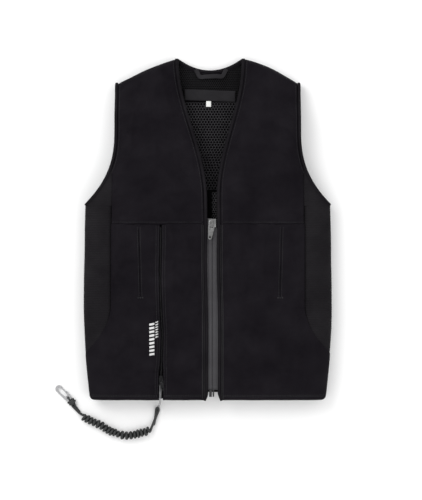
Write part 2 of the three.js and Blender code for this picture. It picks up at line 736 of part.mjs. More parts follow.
function canisterZipPull() {
  return zipPull({
    x: CANISTER_X, axisY: SADDLE_AXIS_Y, z: SADDLE_PULL_Z, length: 23, headHalf: 3.4, tipHalf: 2.6,
    slotLength: 8, slotHalf: 2, thick: 1.1, skew: 0.17, hole: 1.2,
  });
}

// ---- Canister, inflator and trigger, turned about one line along Y ----

const CANISTER_RADIUS = CANISTER_D / 2;
const NECK_RADIUS = NECK_D / 2;
const INFLATOR_RADIUS = INFLATOR_D / 2;
const SHOULDER_Y = CANISTER_TOP_Y - CANISTER_LENGTH;
const NECK_END_Y = SHOULDER_Y - NECK_LENGTH;
const INFLATOR_TOP_Y = SHOULDER_Y - 8;
const INFLATOR_LOW_Y = INFLATOR_TOP_Y - INFLATOR_LENGTH;
const CHAMBER_RADIUS = 6;
const CHAMBER_TOP_Y = NECK_END_Y - 5;
const CAP_TOP_Y = INFLATOR_LOW_Y - CLEAR;
const CAP_LOW_Y = CAP_TOP_Y - 9.7;
const CUP_TOP_Y = CAP_LOW_Y - STRIKE - 0.4;
const STEM_RADIUS = 2.5;
const PISTON_TOP_Y = CHAMBER_TOP_Y - STRIKE - 4;
const PISTON_LOW_Y = PISTON_TOP_Y - 6;
const BALL_RADIUS = BALL_D / 2;
const CUP_FLOOR_Y = CUP_TOP_Y - 1.6;
const BALL_Y = CUP_FLOOR_Y - CLEAR - BALL_RADIUS - 0.1;

function co2Canister() {
  const [top, shoulder, end, wall] = [CANISTER_TOP_Y, SHOULDER_Y + 1, NECK_END_Y, 1.6];
  const inner = CANISTER_RADIUS - wall;
  return turned([
    [0, top], [8, top], [CANISTER_RADIUS, top - 4], [CANISTER_RADIUS, shoulder + 11],
    [NECK_RADIUS, shoulder], [NECK_RADIUS, end], [3, end], [3, shoulder - 1],
    [inner, shoulder + 12], [inner, top - 5], [0, top - 4],
  ]);
}

function inflatorBody() {
  const bore = NECK_RADIUS + CLEAR;
  const [top, low, pinHole] = [INFLATOR_TOP_Y, INFLATOR_LOW_Y, 1.8];
  const wallY = NECK_END_Y - 2;
  return turned([
    [bore, top], [INFLATOR_RADIUS, top], [INFLATOR_RADIUS, low], [CHAMBER_RADIUS, low],
    [CHAMBER_RADIUS, CHAMBER_TOP_Y], [pinHole, CHAMBER_TOP_Y], [pinHole, wallY], [bore, wallY], [bore, top],
  ]);
}

const canisterSeal = () => ring(NECK_RADIUS + CLEAR, 9, INFLATOR_TOP_Y + CLEAR, INFLATOR_TOP_Y + 3);
const inflatorEndCap = () => ring(STEM_RADIUS + CLEAR, INFLATOR_RADIUS, CAP_TOP_Y, CAP_LOW_Y);

function striker() {
  const [pin, cup, bore] = [1.5, 5.5, BALL_RADIUS + CLEAR];
  const [pinTip, rim] = [NECK_END_Y - 3.5, CUP_TOP_Y - 9];
  return turned([
    [0, pinTip], [pin, pinTip], [pin, PISTON_TOP_Y], [CHAMBER_RADIUS - CLEAR, PISTON_TOP_Y],
    [CHAMBER_RADIUS - CLEAR, PISTON_LOW_Y], [STEM_RADIUS, PISTON_LOW_Y], [STEM_RADIUS, CUP_TOP_Y],
    [cup, CUP_TOP_Y], [cup, rim], [bore, rim], [bore, CUP_FLOOR_Y], [0, CUP_FLOOR_Y],
  ], 20);
}

const SPRING_TURNS = 6;

class SpringLine extends THREE.Curve {
  getPoint(t) {
    const angle = t * SPRING_TURNS * 2 * Math.PI;
    const y = mix(PISTON_LOW_Y - 1, CAP_TOP_Y + 1, t);
    const radius = (STEM_RADIUS + CHAMBER_RADIUS) / 2;
    const [across, up] = [radius * Math.cos(angle), radius * Math.sin(angle)];
    return new THREE.Vector3(CANISTER_X + across, y, CANISTER_Z + up);
  }
}

const firingSpring = () => tube(new SpringLine(), 0.55, 6, 12 * SPRING_TURNS);

function triggerBall() {
  return new THREE.SphereGeometry(BALL_RADIUS, 16, 12).translate(CANISTER_X, BALL_Y, CANISTER_Z);
}

const FERRULE_TOP_Y = BALL_Y - BALL_RADIUS - CLEAR;
const FERRULE_LOW_Y = FERRULE_TOP_Y - 7.3;
const FERRULE_RADIUS = 2.9;

function cableFerrule() {
  return turned([
    [0, FERRULE_TOP_Y],
    [FERRULE_RADIUS, FERRULE_TOP_Y],
    [FERRULE_RADIUS, FERRULE_LOW_Y],
    [0, FERRULE_LOW_Y],
  ], 16);
}

function gasElbow() {
  const y = INFLATOR_TOP_Y - 42;
  const start = CANISTER_X + INFLATOR_RADIUS + 0.5;
  const line = new THREE.CatmullRomCurve3([
    new THREE.Vector3(start, y, CANISTER_Z),
    new THREE.Vector3(start + 2.5, y, CANISTER_Z),
    new THREE.Vector3(CANISTER_X + WINDOW_HALF - 2, y, FRONT_SHELL_Z - 4.6),
    new THREE.Vector3(AIRBAG_STRIP_X - 2, y, FRONT_SHELL_Z - 3.8),
    new THREE.Vector3(AIRBAG_STRIP_X - CLEAR, y, FRONT_SHELL_Z - 3.8),
  ], false, 'centripetal');
  return tube(line, 2.8, 12, 14);
}

// An open trough on the back lining that the canister lies in
function canisterPouch() {
  const [half, room, end] = [POUCH_HALF, POUCH_HOLLOW_HALF, CANISTER_TOP_Y + 8];
  const floor = BACK_TOP + CLEAR;
  const rim = FRONT_LINING_Z + LINING;
  const body = block(CANISTER_X - half, CANISTER_X + half, INFLATOR_TOP_Y - 4, end, floor, rim);
  const hollow = block(CANISTER_X - room, CANISTER_X + room, INFLATOR_TOP_Y - 6, end - 3.3,
    floor + POUCH_FLOOR, rim + 1);
  return cut(body, hollow);
}

// ---- Lanyard ----

// The steel cable's middle line, from the ferrule through the slot and over the hem to the floor
const CABLE_LINE = [
  [-84, FERRULE_LOW_Y - CLEAR, CANISTER_Z],
  [-84, -235, 28],
  [-84, -255, 32],
  [-84.2, -270, 36],
  [-84.5, -283, 38.6],
  [-85, -296, 38.8],
  [-85.2, -309, 37.6],
  [-86.8, -315, 30],
  [-88.6, -318.5, 16],
  [-90.2, -321.5, 6],
  [-90.5, -323.2, 2.6],
];
const STRAND_HALF = 1.1;
const LOOP_HALF = 2.4;

function releaseCable() {
  const widening = (i) => Math.max(0, (i - 7) / 3);
  const spread = CABLE_LINE.map((point, i) => mix(STRAND_HALF, LOOP_HALF, widening(i)));
  const strand = (side) => CABLE_LINE.map(([x, y, z], i) => new THREE.Vector3(x + side * spread[i], y, z));
  const [x, y, z] = CABLE_LINE.at(-1);
  const bend = [-0.8, 0, 0.8].map((across) => {
    const deep = LOOP_HALF * Math.sqrt(1 - across ** 2);
    return new THREE.Vector3(x + across * LOOP_HALF, y - deep, z - 0.3);
  });
  const route = [...strand(-1), ...bend, ...strand(1).reverse()];
  return tube(new THREE.CatmullRomCurve3(route, false, 'centripetal'), CABLE_D / 2, 8, 80);
}

const COIL_LINE = [
  [-98.1, -357.1], [-102.8, -360.9], [-108.5, -364.3], [-116.6, -367.6], [-129.4, -371], [-143.6, -372.8],
  [-157, -371.9], [-171.7, -367.4], [-181.8, -361.8], [-191, -356.2], [-209.5, -347.8], [-224.8, -338.2],
  [-232, -334.1],
];

function onFloor(points, z) {
  const raised = points.map(([x, y]) => new THREE.Vector3(x, y, z));
  return new THREE.CatmullRomCurve3(raised, false, 'centripetal');
}

const lanyardCoil = () => tube(onFloor(COIL_LINE, COIL_D / 2), COIL_D / 2, 10, 32);

// Two cords side by side, as one flat bar lying on the floor
function cordPair(points) {
  const line = onFloor(points, 0);
  return bentBox(1, 8, 1, (u, v, w) => {
    const point = line.getPointAt(v);
    const along = line.getTangentAt(v);
    const across = (u - 0.5) * CORD_PAIR_WIDTH;
    return [point.x - along.y * across, point.y + along.x * across, w * CORD_PAIR_HEIGHT];
  });
}

const lanyardVestEnd = () => cordPair([[-91.3, -327.2], [-92.6, -340], [-95, -352.6], [-96.7, -355.8]]);

// The hook lies on its side: along runs from its eye to its nose, out points to its gate.
const HOOK_BASE = new THREE.Vector2(-249.8, -308.5);
const HOOK_TURN = 2.37;
const HOOK_OPEN_FROM = 15.2;
const HOOK_OPEN_TO = 27;
const GATE_AXIS = 13;
const GATE_OUT = 4.6;
const RIVET_RADIUS = 0.8;

const onHook = (geometry) => geometry.rotateZ(HOOK_TURN).translate(HOOK_BASE.x, HOOK_BASE.y, 0);

function lanyardHookEnd() {
  const cords = cordPair([[-233.4, -333.2], [-237.5, -328.6], [-242, -322.4], [-245, -315.6]]);
  const knot = new THREE.SphereGeometry(1, 14, 10).scale(3.4, 8, 4);
  knot.rotateZ(HOOK_TURN).translate(-246.4, -312.6, 4);
  return joined(cords, knot);
}

function stadium(from, to, half) {
  const shape = new THREE.Shape();
  shape.absarc(to - half, 0, half, -Math.PI / 2, Math.PI / 2, false);
  shape.absarc(from + half, 0, half, Math.PI / 2, 1.5 * Math.PI, false);
  shape.closePath();
  return shape;
}

function pillar(x, y, radius, z0, z1) {
  const round = new THREE.CylinderGeometry(radius, radius, z1 - z0, 16);
  return round.rotateX(Math.PI / 2).translate(x, y, (z0 + z1) / 2);
}

// In the hook's own frame x is along, and y points away from the gate.
function snapHookBody() {
  const extrude = { depth: HOOK_THICK, bevelEnabled: false, curveSegments: 12 };
  const body = new THREE.ExtrudeGeometry(stadium(0, HOOK_LENGTH, HOOK_WIDTH / 2), extrude);
  const inside = new THREE.ExtrudeGeometry(stadium(9, 29, 3.6), { ...extrude, depth: HOOK_THICK + 2 });
  inside.translate(0, 0, -1);
  const eye = pillar(4.7, 0, 2.6, -1, HOOK_THICK + 1);
  const mouth = block(HOOK_OPEN_FROM, HOOK_OPEN_TO, -HOOK_WIDTH, -3, -1, HOOK_THICK + 1);
  const fork = block(GATE_AXIS - 2.5, HOOK_OPEN_FROM + 1, -HOOK_WIDTH, -3, 0.9, HOOK_THICK - 0.9);
  const hole = pillar(GATE_AXIS, -GATE_OUT, RIVET_RADIUS + CLEAR, -1, HOOK_THICK + 1);
  return onHook(cut(body, inside, eye, mouth, fork, hole));
}

function snapHookGate() {
  const [low, high] = [1.2, HOOK_THICK - 1.2];
  const gate = block(GATE_AXIS - 1.7, HOOK_OPEN_TO - CLEAR, -GATE_OUT - 1, -GATE_OUT + 1, low, high);
  const eye = pillar(GATE_AXIS, -GATE_OUT, RIVET_RADIUS + 0.8, low, high);
  const hole = pillar(GATE_AXIS, -GATE_OUT, RIVET_RADIUS + CLEAR, 0, HOOK_THICK);
  return onHook(cut(joined(gate, eye), hole));
}

const snapHookRivet = () => onHook(pillar(GATE_AXIS, -GATE_OUT, RIVET_RADIUS, 0, HOOK_THICK));

// ---- Assembly ----

const vest = new THREE.Group();

function add(name, geometry, look) {
  const mesh = new THREE.Mesh(facingOut(plainShape(geometry)), MATERIALS[look]);
  mesh.name = name;
  vest.add(mesh);
}

add('back_shell', backShell(), 'shell');
add('back_airbag', backAirbag(), 'airbag');
add('back_lining_upper', backLiningUpper(), 'lining');
add('back_lining_lower', backLiningLower(), 'lining');
add('back_band', backBand(), 'band');
add('hanger_loop', hangerLoop(), 'binding');
add('size_label', sizeLabel(), 'label');
add('back_neck_binding', backNeckBinding(), 'binding');
for (const [side, name] of [[-1, 'right'], [1, 'left']]) {
  add(`side_panel_${name}`, sidePanel(side), 'ribs');
  add(`hem_side_wrap_${name}`, hemSideWrap(side), 'shell');
  add(`${name}_armhole_binding`, armholeBinding(side), 'binding');
  add(`hand_pocket_bag_${name}`, handPocketBag(side), 'lining');
  add(`hand_pocket_zip_${name}`, handPocketZip(side), 'coil');
}

add('right_chest_panel', rightChestPanel(), 'shell');
add('right_lower_side_panel', rightLowerSidePanel(), 'shell');
add('right_lower_centre_panel', rightLowerCentrePanel(), 'shell');
add('right_front_lining', rightFrontLining(), 'lining');
add('right_front_airbag', rightFrontAirbag(), 'airbag');
add('right_edge_binding', frontBinding(-1, HEM_Y, NECK_Y), 'binding');

add('left_edge_binding_upper', frontBinding(1, FLAP_TOP_Y + FOLD_END_GAP, NECK_Y), 'binding');
add('left_chest_panel_side', leftChestPanelSide(), 'shell');
add('left_lower_panel_side', leftLowerPanelSide(), 'shell');
add('left_lining_side', leftLiningSide(), 'lining');
add('left_shoulder_airbag', leftShoulderAirbag(), 'airbag');
add('left_chest_panel_front', leftChestPanelFront(), 'shell');
add('left_lower_panel_front', leftLowerPanelFront(), 'shell');
add('left_lining_front', leftLiningFront(), 'lining');
add('left_front_airbag', leftFrontAirbag(), 'airbag');
add('left_edge_binding', frontBinding(1, HEM_Y, FLAP_TOP_Y), 'binding');

add('main_zip_right', zipSide(-1, SLIDER_TOP_Y + 1), 'tape');
add('main_zip_left', zipSide(1, SLIDER_LOW_Y - 0.5), 'tape');
add('main_zip_box', zipBox(), 'plastic');
add('main_zip_pin', zipPin(), 'plastic');
add('main_zip_slider', mainZipSlider(), 'nickel');
add('main_zip_pull', mainZipPull(), 'nickel');
add('canister_zip_chain', canisterZipChain(), 'coil');
add('canister_zip_slider', canisterZipSlider(), 'darkMetal');
add('canister_zip_pull', canisterZipPull(), 'darkMetal');

add('co2_canister', co2Canister(), 'canister');
add('canister_seal', canisterSeal(), 'rubber');
add('inflator_body', inflatorBody(), 'plastic');
add('inflator_end_cap', inflatorEndCap(), 'plastic');
add('striker', striker(), 'steel');
add('firing_spring', firingSpring(), 'steel');
add('trigger_ball', triggerBall(), 'steel');
add('cable_ferrule', cableFerrule(), 'steel');
add('gas_elbow', gasElbow(), 'plastic');
add('canister_pouch', canisterPouch(), 'lining');

add('release_cable', releaseCable(), 'steel');
add('lanyard_vest_end', lanyardVestEnd(), 'cord');
add('lanyard_coil', lanyardCoil(), 'cord');
add('lanyard_hook_end', lanyardHookEnd(), 'cord');
add('snap_hook_body', snapHookBody(), 'steel');
add('snap_hook_rivet', snapHookRivet(), 'steel');
add('snap_hook_gate', snapHookGate(), 'steel');

export default vest;
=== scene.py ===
"""Inflatable safety vest, laid on its back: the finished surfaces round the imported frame."""
import math

import bmesh
import bpy
import numpy as np
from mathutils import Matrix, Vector, noise
from mathutils.bvhtree import BVHTree


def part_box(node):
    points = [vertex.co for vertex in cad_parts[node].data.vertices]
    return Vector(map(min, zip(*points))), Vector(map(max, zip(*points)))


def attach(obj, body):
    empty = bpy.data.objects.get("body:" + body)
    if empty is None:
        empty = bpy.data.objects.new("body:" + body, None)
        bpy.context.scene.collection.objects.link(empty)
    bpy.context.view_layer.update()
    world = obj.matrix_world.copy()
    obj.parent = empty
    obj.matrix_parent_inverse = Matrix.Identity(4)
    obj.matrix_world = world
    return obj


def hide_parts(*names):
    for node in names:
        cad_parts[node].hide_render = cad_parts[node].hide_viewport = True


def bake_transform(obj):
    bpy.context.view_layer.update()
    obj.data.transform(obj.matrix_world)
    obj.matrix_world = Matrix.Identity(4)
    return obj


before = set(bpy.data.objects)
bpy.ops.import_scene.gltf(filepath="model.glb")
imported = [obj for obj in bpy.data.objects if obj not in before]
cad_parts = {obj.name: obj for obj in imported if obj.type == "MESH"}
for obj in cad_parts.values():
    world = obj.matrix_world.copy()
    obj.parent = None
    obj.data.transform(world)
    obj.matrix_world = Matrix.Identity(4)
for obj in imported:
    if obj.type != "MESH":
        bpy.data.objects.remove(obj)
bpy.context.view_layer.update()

# ---- Driving sizes, in millimetres, read from the frame ----

MM = 0.001
CLEAR = 0.3


def span(node):
    low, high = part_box(node)
    return low / MM, high / MM


HEM_Y, NECK_Y = span("back_shell")[0].y, span("back_shell")[1].y
FRONT_TOP = span("right_lower_centre_panel")[1].z
FRONT_LOW = span("left_lining_front")[0].z
BACK_TOP = span("back_lining_upper")[1].z
FULL_DROP = FRONT_LOW - BACK_TOP - CLEAR
CHEST_SEAM_Y = span("left_chest_panel_front")[0].y
UNDERARM_Y = span("left_armhole_binding")[0].y
SIDE_SEAM = span("side_panel_left")[0].x
UNDERARM_HALF = span("left_armhole_binding")[1].x
CHEST_HALF = span("side_panel_left")[1].x
HEM_HALF = 212
HEM_CORNER = 8
ARM_HALF = 167
NECK_SHIFT = 4
NECK_HALF = 57
SHOULDER_FALL = 48
TIP_Y = NECK_Y - SHOULDER_FALL
NECK_DIP = 20
SIDE_RISE = 167
ARMHOLE_BEND = 136
FLAP_RISE = 84
SIDES = ((-1, "right"), (1, "left"))
BINDING = 6
ZIP_X = 8
EDGE_HALF = 8.7
V_DEPTH = 288
SLIT_X = -84
SLIT_HALF = 3.5
DROP_START_Y, DROP_END_Y = NECK_Y - 102, NECK_Y - 67
LINING_SPLIT_Y = span("back_lining_upper")[0].y


def mix(a, b, share):
    return a + (b - a) * share


def clamp(value, low=0.0, high=1.0):
    return min(high, max(low, value))


def ease(share):
    share = clamp(share)
    return share * share * (3 - 2 * share)


# ---- Outline of the vest, as in the frame ----


def side_half(y):
    rise = clamp((y - HEM_Y) / SIDE_RISE)
    taper = clamp((y - HEM_Y - SIDE_RISE) / (UNDERARM_Y - HEM_Y - SIDE_RISE))
    waist = mix(HEM_HALF, CHEST_HALF, math.sin(rise * math.pi / 2))
    corner = clamp((HEM_Y + HEM_CORNER - y) / HEM_CORNER)
    rounding = HEM_CORNER * (1 - math.sqrt(1 - (0.98 * corner) ** 2))
    return waist - (CHEST_HALF - UNDERARM_HALF) * taper ** 2 - rounding


def arm_half(y):
    share = clamp(1 - (y - UNDERARM_Y) / ARMHOLE_BEND)
    return ARM_HALF + (UNDERARM_HALF - ARM_HALF) * share ** 2.6


def neck_half(y):
    depth = clamp((NECK_Y - y) / V_DEPTH / 0.88)
    return EDGE_HALF + (NECK_HALF - EDGE_HALF) * (1 + math.cos(math.pi * depth)) / 2


def front_edge(side, y):
    centre = mix(NECK_SHIFT, ZIP_X, clamp((NECK_Y - y) / V_DEPTH))
    return centre + side * neck_half(y)


def shoulder_y(x):
    side = 1 if x > NECK_SHIFT else -1
    corner = NECK_SHIFT + side * NECK_HALF
    along = clamp((x - corner) / (side * ARM_HALF - corner))
    return TIP_Y + SHOULDER_FALL * (1 - along ** (1.5 if side > 0 else 1.3))


def back_neck_y(x):
    return NECK_Y - NECK_DIP * (1 - ((x - NECK_SHIFT) / NECK_HALF) ** 2)


def back_top_y(x):
    return back_neck_y(x) if abs(x - NECK_SHIFT) < NECK_HALF else shoulder_y(x)


def front_drop(y):
    """The front settles onto the back between two rows, with soft shoulders to the bend."""
    share = (y - DROP_START_Y + 8) / (DROP_END_Y - DROP_START_Y + 16)
    return FULL_DROP * ease(share)


# ---- Camera, straight above ----


def make_camera():
    data = bpy.data.cameras.new("view_from_above")
    data.lens = 100
    data.sensor_width = 36
    data.clip_end = 20
    camera = new_object("view_from_above", data)
    camera.location = (0.0058, -0.0376, 2.52)
    bpy.context.scene.camera = camera


# ---- Making meshes ----


def new_object(name, data):
    piece = bpy.data.objects.new(name, data)
    bpy.context.collection.objects.link(piece)
    return piece


def mesh_object(name, points, faces, smooth=True):
    """A mesh piece from points in millimetres."""
    data = bpy.data.meshes.new(name)
    data.from_pydata([Vector(p) * MM for p in points], [], faces)
    data.update()
    if smooth:
        data.polygons.foreach_set("use_smooth", [True] * len(data.polygons))
    return new_object(name, data)


def outward(piece):
    """Merge doubles and turn every face outwards."""
    work = bmesh.new()
    work.from_mesh(piece.data)
    bmesh.ops.remove_doubles(work, verts=work.verts, dist=0.00001)
    bmesh.ops.recalc_face_normals(work, faces=work.faces)
    work.to_mesh(piece.data)
    work.free()
    return piece


def finished(piece):
    """The piece's modifiers turned into a plain mesh."""
    graph = bpy.context.evaluated_depsgraph_get()
    data = bpy.data.meshes.new_from_object(piece.evaluated_get(graph), depsgraph=graph)
    data.name = piece.name
    piece.modifiers.clear()
    piece.data = data
    return piece


def joined(name, parts):
    """Several mesh pieces as one."""
    work = bmesh.new()
    materials = []
    for part in parts:
        start = len(work.faces)
        work.from_mesh(part.data)
        work.faces.ensure_lookup_table()
        for face in work.faces[start:]:
            face.material_index = len(materials)
        materials.append(part.data.materials[0] if part.data.materials else None)
        bpy.data.objects.remove(part)
    data = bpy.data.meshes.new(name)
    work.to_mesh(data)
    work.free()
    if all(item == materials[0] for item in materials):
        materials = materials[:1]
        data.polygons.foreach_set("material_index", [0] * len(data.polygons))
    for item in materials:
        data.materials.append(item)
    return new_object(name, data)


def grid_faces(columns, rows, offset=0, closed=False, flip=False):
    """Quads of a grid of points stored row by row."""
    faces = []
    for j in range(rows - 1):
        for i in range(columns if closed else columns - 1):
            k = (i + 1) % columns
            quad = [j * columns + i, j * columns + k, (j + 1) * columns + k, (j + 1) * columns + i]
            faces.append([offset + n for n in (quad[::-1] if flip else quad)])
    return faces


def swept(name, stations, profile):
    """A closed bar: each station is (centre, across, up), and profile holds (across, up) sizes."""
    points = []
    for centre, across, up in stations:
        points += [centre + across * a + up * b for a, b in profile]
    count = len(profile)
    faces = grid_faces(count, len(stations), closed=True)
    faces.append(list(range(count))[::-1])
    faces.append([len(points) - count + i for i in range(count)])
    return outward(mesh_object(name, points, faces))


def rounded(width, height, steps=12, power=3.0):
    """A soft-cornered section, width across and height up."""
    section = []
    for i in range(steps):
        angle = 2 * math.pi * i / steps
        a, b = math.cos(angle), math.sin(angle)
        section.append((math.copysign(abs(a) ** (2 / power), a) * width / 2,
                        math.copysign(abs(b) ** (2 / power), b) * height / 2))
    return section


def path_stations(points, up=Vector((0, 0, 1))):
    """Stations along a line of points, with up kept as near as it can be."""
    stations = []
    for i, point in enumerate(points):
        ahead = points[min(i + 1, len(points) - 1)] - points[max(i - 1, 0)]
        across = ahead.cross(up).normalized()
        stations.append((point, across, across.cross(ahead).normalized()))
    return stations


def smooth_line(points, step):
    """Points a step apart along one smooth curve through the given ones."""
    knots = [Vector(p) for p in points]
    knots = [knots[0] * 2 - knots[1]] + knots + [knots[-1] * 2 - knots[-2]]
    line = []
    for a, b, c, d in zip(knots, knots[1:], knots[2:], knots[3:]):
        count = max(2, int((c - b).length / step * 2))
        for i in range(count):
            t = i / count
            line.append(0.5 * (2 * b + (c - a) * t + (2 * a - 5 * b + 4 * c - d) * t ** 2
                               + (3 * b - a - 3 * c + d) * t ** 3))
    line.append(knots[-2])
    even = [line[0]]
    gone = 0.0
    for a, b in zip(line, line[1:]):
        length = (b - a).length
        while gone + length >= step:
            share = (step - gone) / length
            a = a.lerp(b, share)
            even.append(a)
            length = (b - a).length
            gone = 0.0
        gone += length
    if (even[-1] - line[-1]).length > step * 0.3:
        even.append(line[-1])
    else:
        even[-1] = line[-1]
    return even


def cord_curve(name, points, diameter, material):
    """A cord as one open spline with a round section, from points in millimetres."""
    data = bpy.data.curves.new(name, "CURVE")
    data.dimensions = "3D"
    data.bevel_depth = diameter / 2 * MM
    data.bevel_resolution = 3
    data.use_fill_caps = True
    spline = data.splines.new("POLY")
    spline.points.add(len(points) - 1)
    for target, point in zip(spline.points, points):
        target.co = (*(point * MM), 1)
    spline.use_smooth = True
    data.materials.append(material)
    return new_object(name, data)


def line_length(points):
    return sum((b - a).length for a, b in zip(points, points[1:]))


# ---- Materials ----


def node_group(name, kind, inputs, outputs):
    """An empty node tree with its named sockets: each input is (name, socket type, value)."""
    tree = bpy.data.node_groups.new(name, kind)
    for label, socket, value in inputs:
        made = tree.interface.new_socket(label, in_out="INPUT", socket_type=socket)
        if value is not None:
            made.default_value = value
    for label, socket in outputs:
        tree.interface.new_socket(label, in_out="OUTPUT", socket_type=socket)
    return tree, tree.nodes.new("NodeGroupInput"), tree.nodes.new("NodeGroupOutput")


def maths(tree, operation, first, second=0.5):
    node = tree.nodes.new("ShaderNodeMath")
    node.operation = operation
    for socket, value in zip(node.inputs, (first, second)):
        if isinstance(value, (int, float)):
            socket.default_value = value
        else:
            tree.links.new(value, socket)
    return node.outputs[0]


def make_mottle():
    """Slow changes of shade and gloss over a cloth, as handling and nap leave them."""
    tree, source, result = node_group(
        "mottle", "ShaderNodeTree",
        [("Base", "NodeSocketColor", (0.02, 0.02, 0.02, 1)),
         ("Worn", "NodeSocketColor", (0.04, 0.04, 0.04, 1)),
         ("Scale", "NodeSocketFloat", 18.0), ("Rough Low", "NodeSocketFloat", 0.7),
         ("Rough High", "NodeSocketFloat", 0.95)],
        [("Color", "NodeSocketColor"), ("Roughness", "NodeSocketFloat"), ("Mask", "NodeSocketFloat")])
    place = tree.nodes.new("ShaderNodeTexCoord")
    slow = tree.nodes.new("ShaderNodeTexNoise")
    slow.inputs["Detail"].default_value = 5
    slow.inputs["Roughness"].default_value = 0.6
    shade = tree.nodes.new("ShaderNodeMix")
    shade.data_type = "RGBA"
    rough = tree.nodes.new("ShaderNodeMapRange")
    tree.links.new(place.outputs["Object"], slow.inputs["Vector"])
    tree.links.new(source.outputs["Scale"], slow.inputs["Scale"])
    steep = maths(tree, "MULTIPLY_ADD", slow.outputs["Fac"], 2.2)
    steep.node.inputs[2].default_value = -0.6
    steep.node.use_clamp = True
    tree.links.new(steep, shade.inputs["Factor"])
    tree.links.new(source.outputs["Base"], shade.inputs[6])
    tree.links.new(source.outputs["Worn"], shade.inputs[7])
    tree.links.new(steep, rough.inputs["Value"])
    tree.links.new(source.outputs["Rough Low"], rough.inputs["To Max"])
    tree.links.new(source.outputs["Rough High"], rough.inputs["To Min"])
    tree.links.new(shade.outputs[2], result.inputs["Color"])
    tree.links.new(rough.outputs["Result"], result.inputs["Roughness"])
    tree.links.new(steep, result.inputs["Mask"])
    return tree


def make_weave():
    """Threads crossing at right angles: a height and a thread mask."""
    tree, source, result = node_group(
        "weave", "ShaderNodeTree",
        [("Across", "NodeSocketFloat", 900.0), ("Along", "NodeSocketFloat", 900.0),
         ("Turn", "NodeSocketFloat", 0.0)],
        [("Height", "NodeSocketFloat")])
    place = tree.nodes.new("ShaderNodeTexCoord")
    turn = tree.nodes.new("ShaderNodeVectorRotate")
    turn.rotation_type = "Z_AXIS"
    parts = tree.nodes.new("ShaderNodeSeparateXYZ")
    tree.links.new(place.outputs["Object"], turn.inputs["Vector"])
    tree.links.new(source.outputs["Turn"], turn.inputs["Angle"])
    tree.links.new(turn.outputs["Vector"], parts.inputs["Vector"])
    waves = []
    for axis, label in (("X", "Across"), ("Y", "Along")):
        step = maths(tree, "MULTIPLY", parts.outputs[axis], source.outputs[label])
        waves.append(maths(tree, "SINE", maths(tree, "MULTIPLY", step, 2 * math.pi)))
    tree.links.new(maths(tree, "MAXIMUM", waves[0], waves[1]), result.inputs["Height"])
    return tree


MOTTLE = make_mottle()
WEAVE = make_weave()


def plain_material(name, color, roughness, metallic=0.0, specular=0.5, sheen=0.0):
    material = bpy.data.materials.new(name)
    material.use_nodes = True
    shader = material.node_tree.nodes["Principled BSDF"]
    shader.inputs["Base Color"].default_value = (*color, 1)
    shader.inputs["Roughness"].default_value = roughness
    shader.inputs["Metallic"].default_value = metallic
    shader.inputs["Specular IOR Level"].default_value = specular
    shader.inputs["Sheen Weight"].default_value = sheen
    shader.inputs["Sheen Roughness"].default_value = 0.6
    return material, material.node_tree, shader


def placed_group(tree, group, **values):
    node = tree.nodes.new("ShaderNodeGroup")
    node.node_tree = group
    for label, value in values.items():
        socket = node.inputs[label.replace("_", " ")]
        socket.default_value = (*value, 1) if isinstance(value, tuple) else value
    return node


def bumped(tree, shader, height, distance, strength=1.0, under=None):
    bump = tree.nodes.new("ShaderNodeBump")
    bump.inputs["Distance"].default_value = distance
    bump.inputs["Strength"].default_value = strength
    tree.links.new(height, bump.inputs["Height"])
    if under:
        tree.links.new(under, bump.inputs["Normal"])
    tree.links.new(bump.outputs["Normal"], shader.inputs["Normal"])
    return bump.outputs["Normal"]


def fine_noise(tree, scale, detail=3.0):
    place = tree.nodes.new("ShaderNodeTexCoord")
    grain = tree.nodes.new("ShaderNodeTexNoise")
    grain.inputs["Scale"].default_value = scale
    grain.inputs["Detail"].default_value = detail
    tree.links.new(place.outputs["Object"], grain.inputs["Vector"])
    return grain.outputs["Fac"]


def mottled(tree, shader, **values):
    """Colour and roughness from the mottle group."""
    shade = placed_group(tree, MOTTLE, **values)
    tree.links.new(shade.outputs["Color"], shader.inputs["Base Color"])
    tree.links.new(shade.outputs["Roughness"], shader.inputs["Roughness"])


FUZZ = 0.00004


def cloth_material(name, base, worn, weave, depth, turn=0.0, sheen=0.15, specular=0.3):
    """Woven or knitted cloth: mottled colour, thread relief and a little fuzz."""
    material, tree, shader = plain_material(name, base, 0.9, specular=specular, sheen=sheen)
    mottled(tree, shader, Base=base, Worn=worn, Scale=18.0, Rough_Low=0.72, Rough_High=0.95)
    threads = placed_group(tree, WEAVE, Across=weave[0], Along=weave[1], Turn=turn)
    relief = bumped(tree, shader, threads.outputs["Height"], depth, 0.6)
    bumped(tree, shader, fine_noise(tree, 1400.0), FUZZ, 0.5, relief)
    return material


def plastic_material(name, color, roughness, grain=900.0):
    material, tree, shader = plain_material(name, color, roughness)
    worn = tuple(clamp(c * 1.6) for c in color)
    mottled(tree, shader, Base=color, Worn=worn, Scale=60.0, Rough_Low=roughness,
            Rough_High=min(1.0, roughness + 0.15))
    bumped(tree, shader, fine_noise(tree, grain), 0.00003, 0.5)
    return material


def metal_material(name, color, worn, roughness, scratch=(40.0, 1600.0)):
    """Metal with fine scratches that run one way and duller, darker patches."""
    material, tree, shader = plain_material(name, color, roughness, metallic=1.0)
    mottled(tree, shader, Base=color, Worn=worn, Scale=220.0, Rough_Low=roughness,
            Rough_High=min(1.0, roughness + 0.2))
    place = tree.nodes.new("ShaderNodeTexCoord")
    stretch = tree.nodes.new("ShaderNodeMapping")
    stretch.inputs["Scale"].default_value = (scratch[1], scratch[0], scratch[1])
    grain = tree.nodes.new("ShaderNodeTexNoise")
    grain.inputs["Scale"].default_value = 1.0
    tree.links.new(place.outputs["Object"], stretch.inputs["Vector"])
    tree.links.new(stretch.outputs["Vector"], grain.inputs["Vector"])
    bumped(tree, shader, grain.outputs["Fac"], 0.00004, 0.4)
    return material


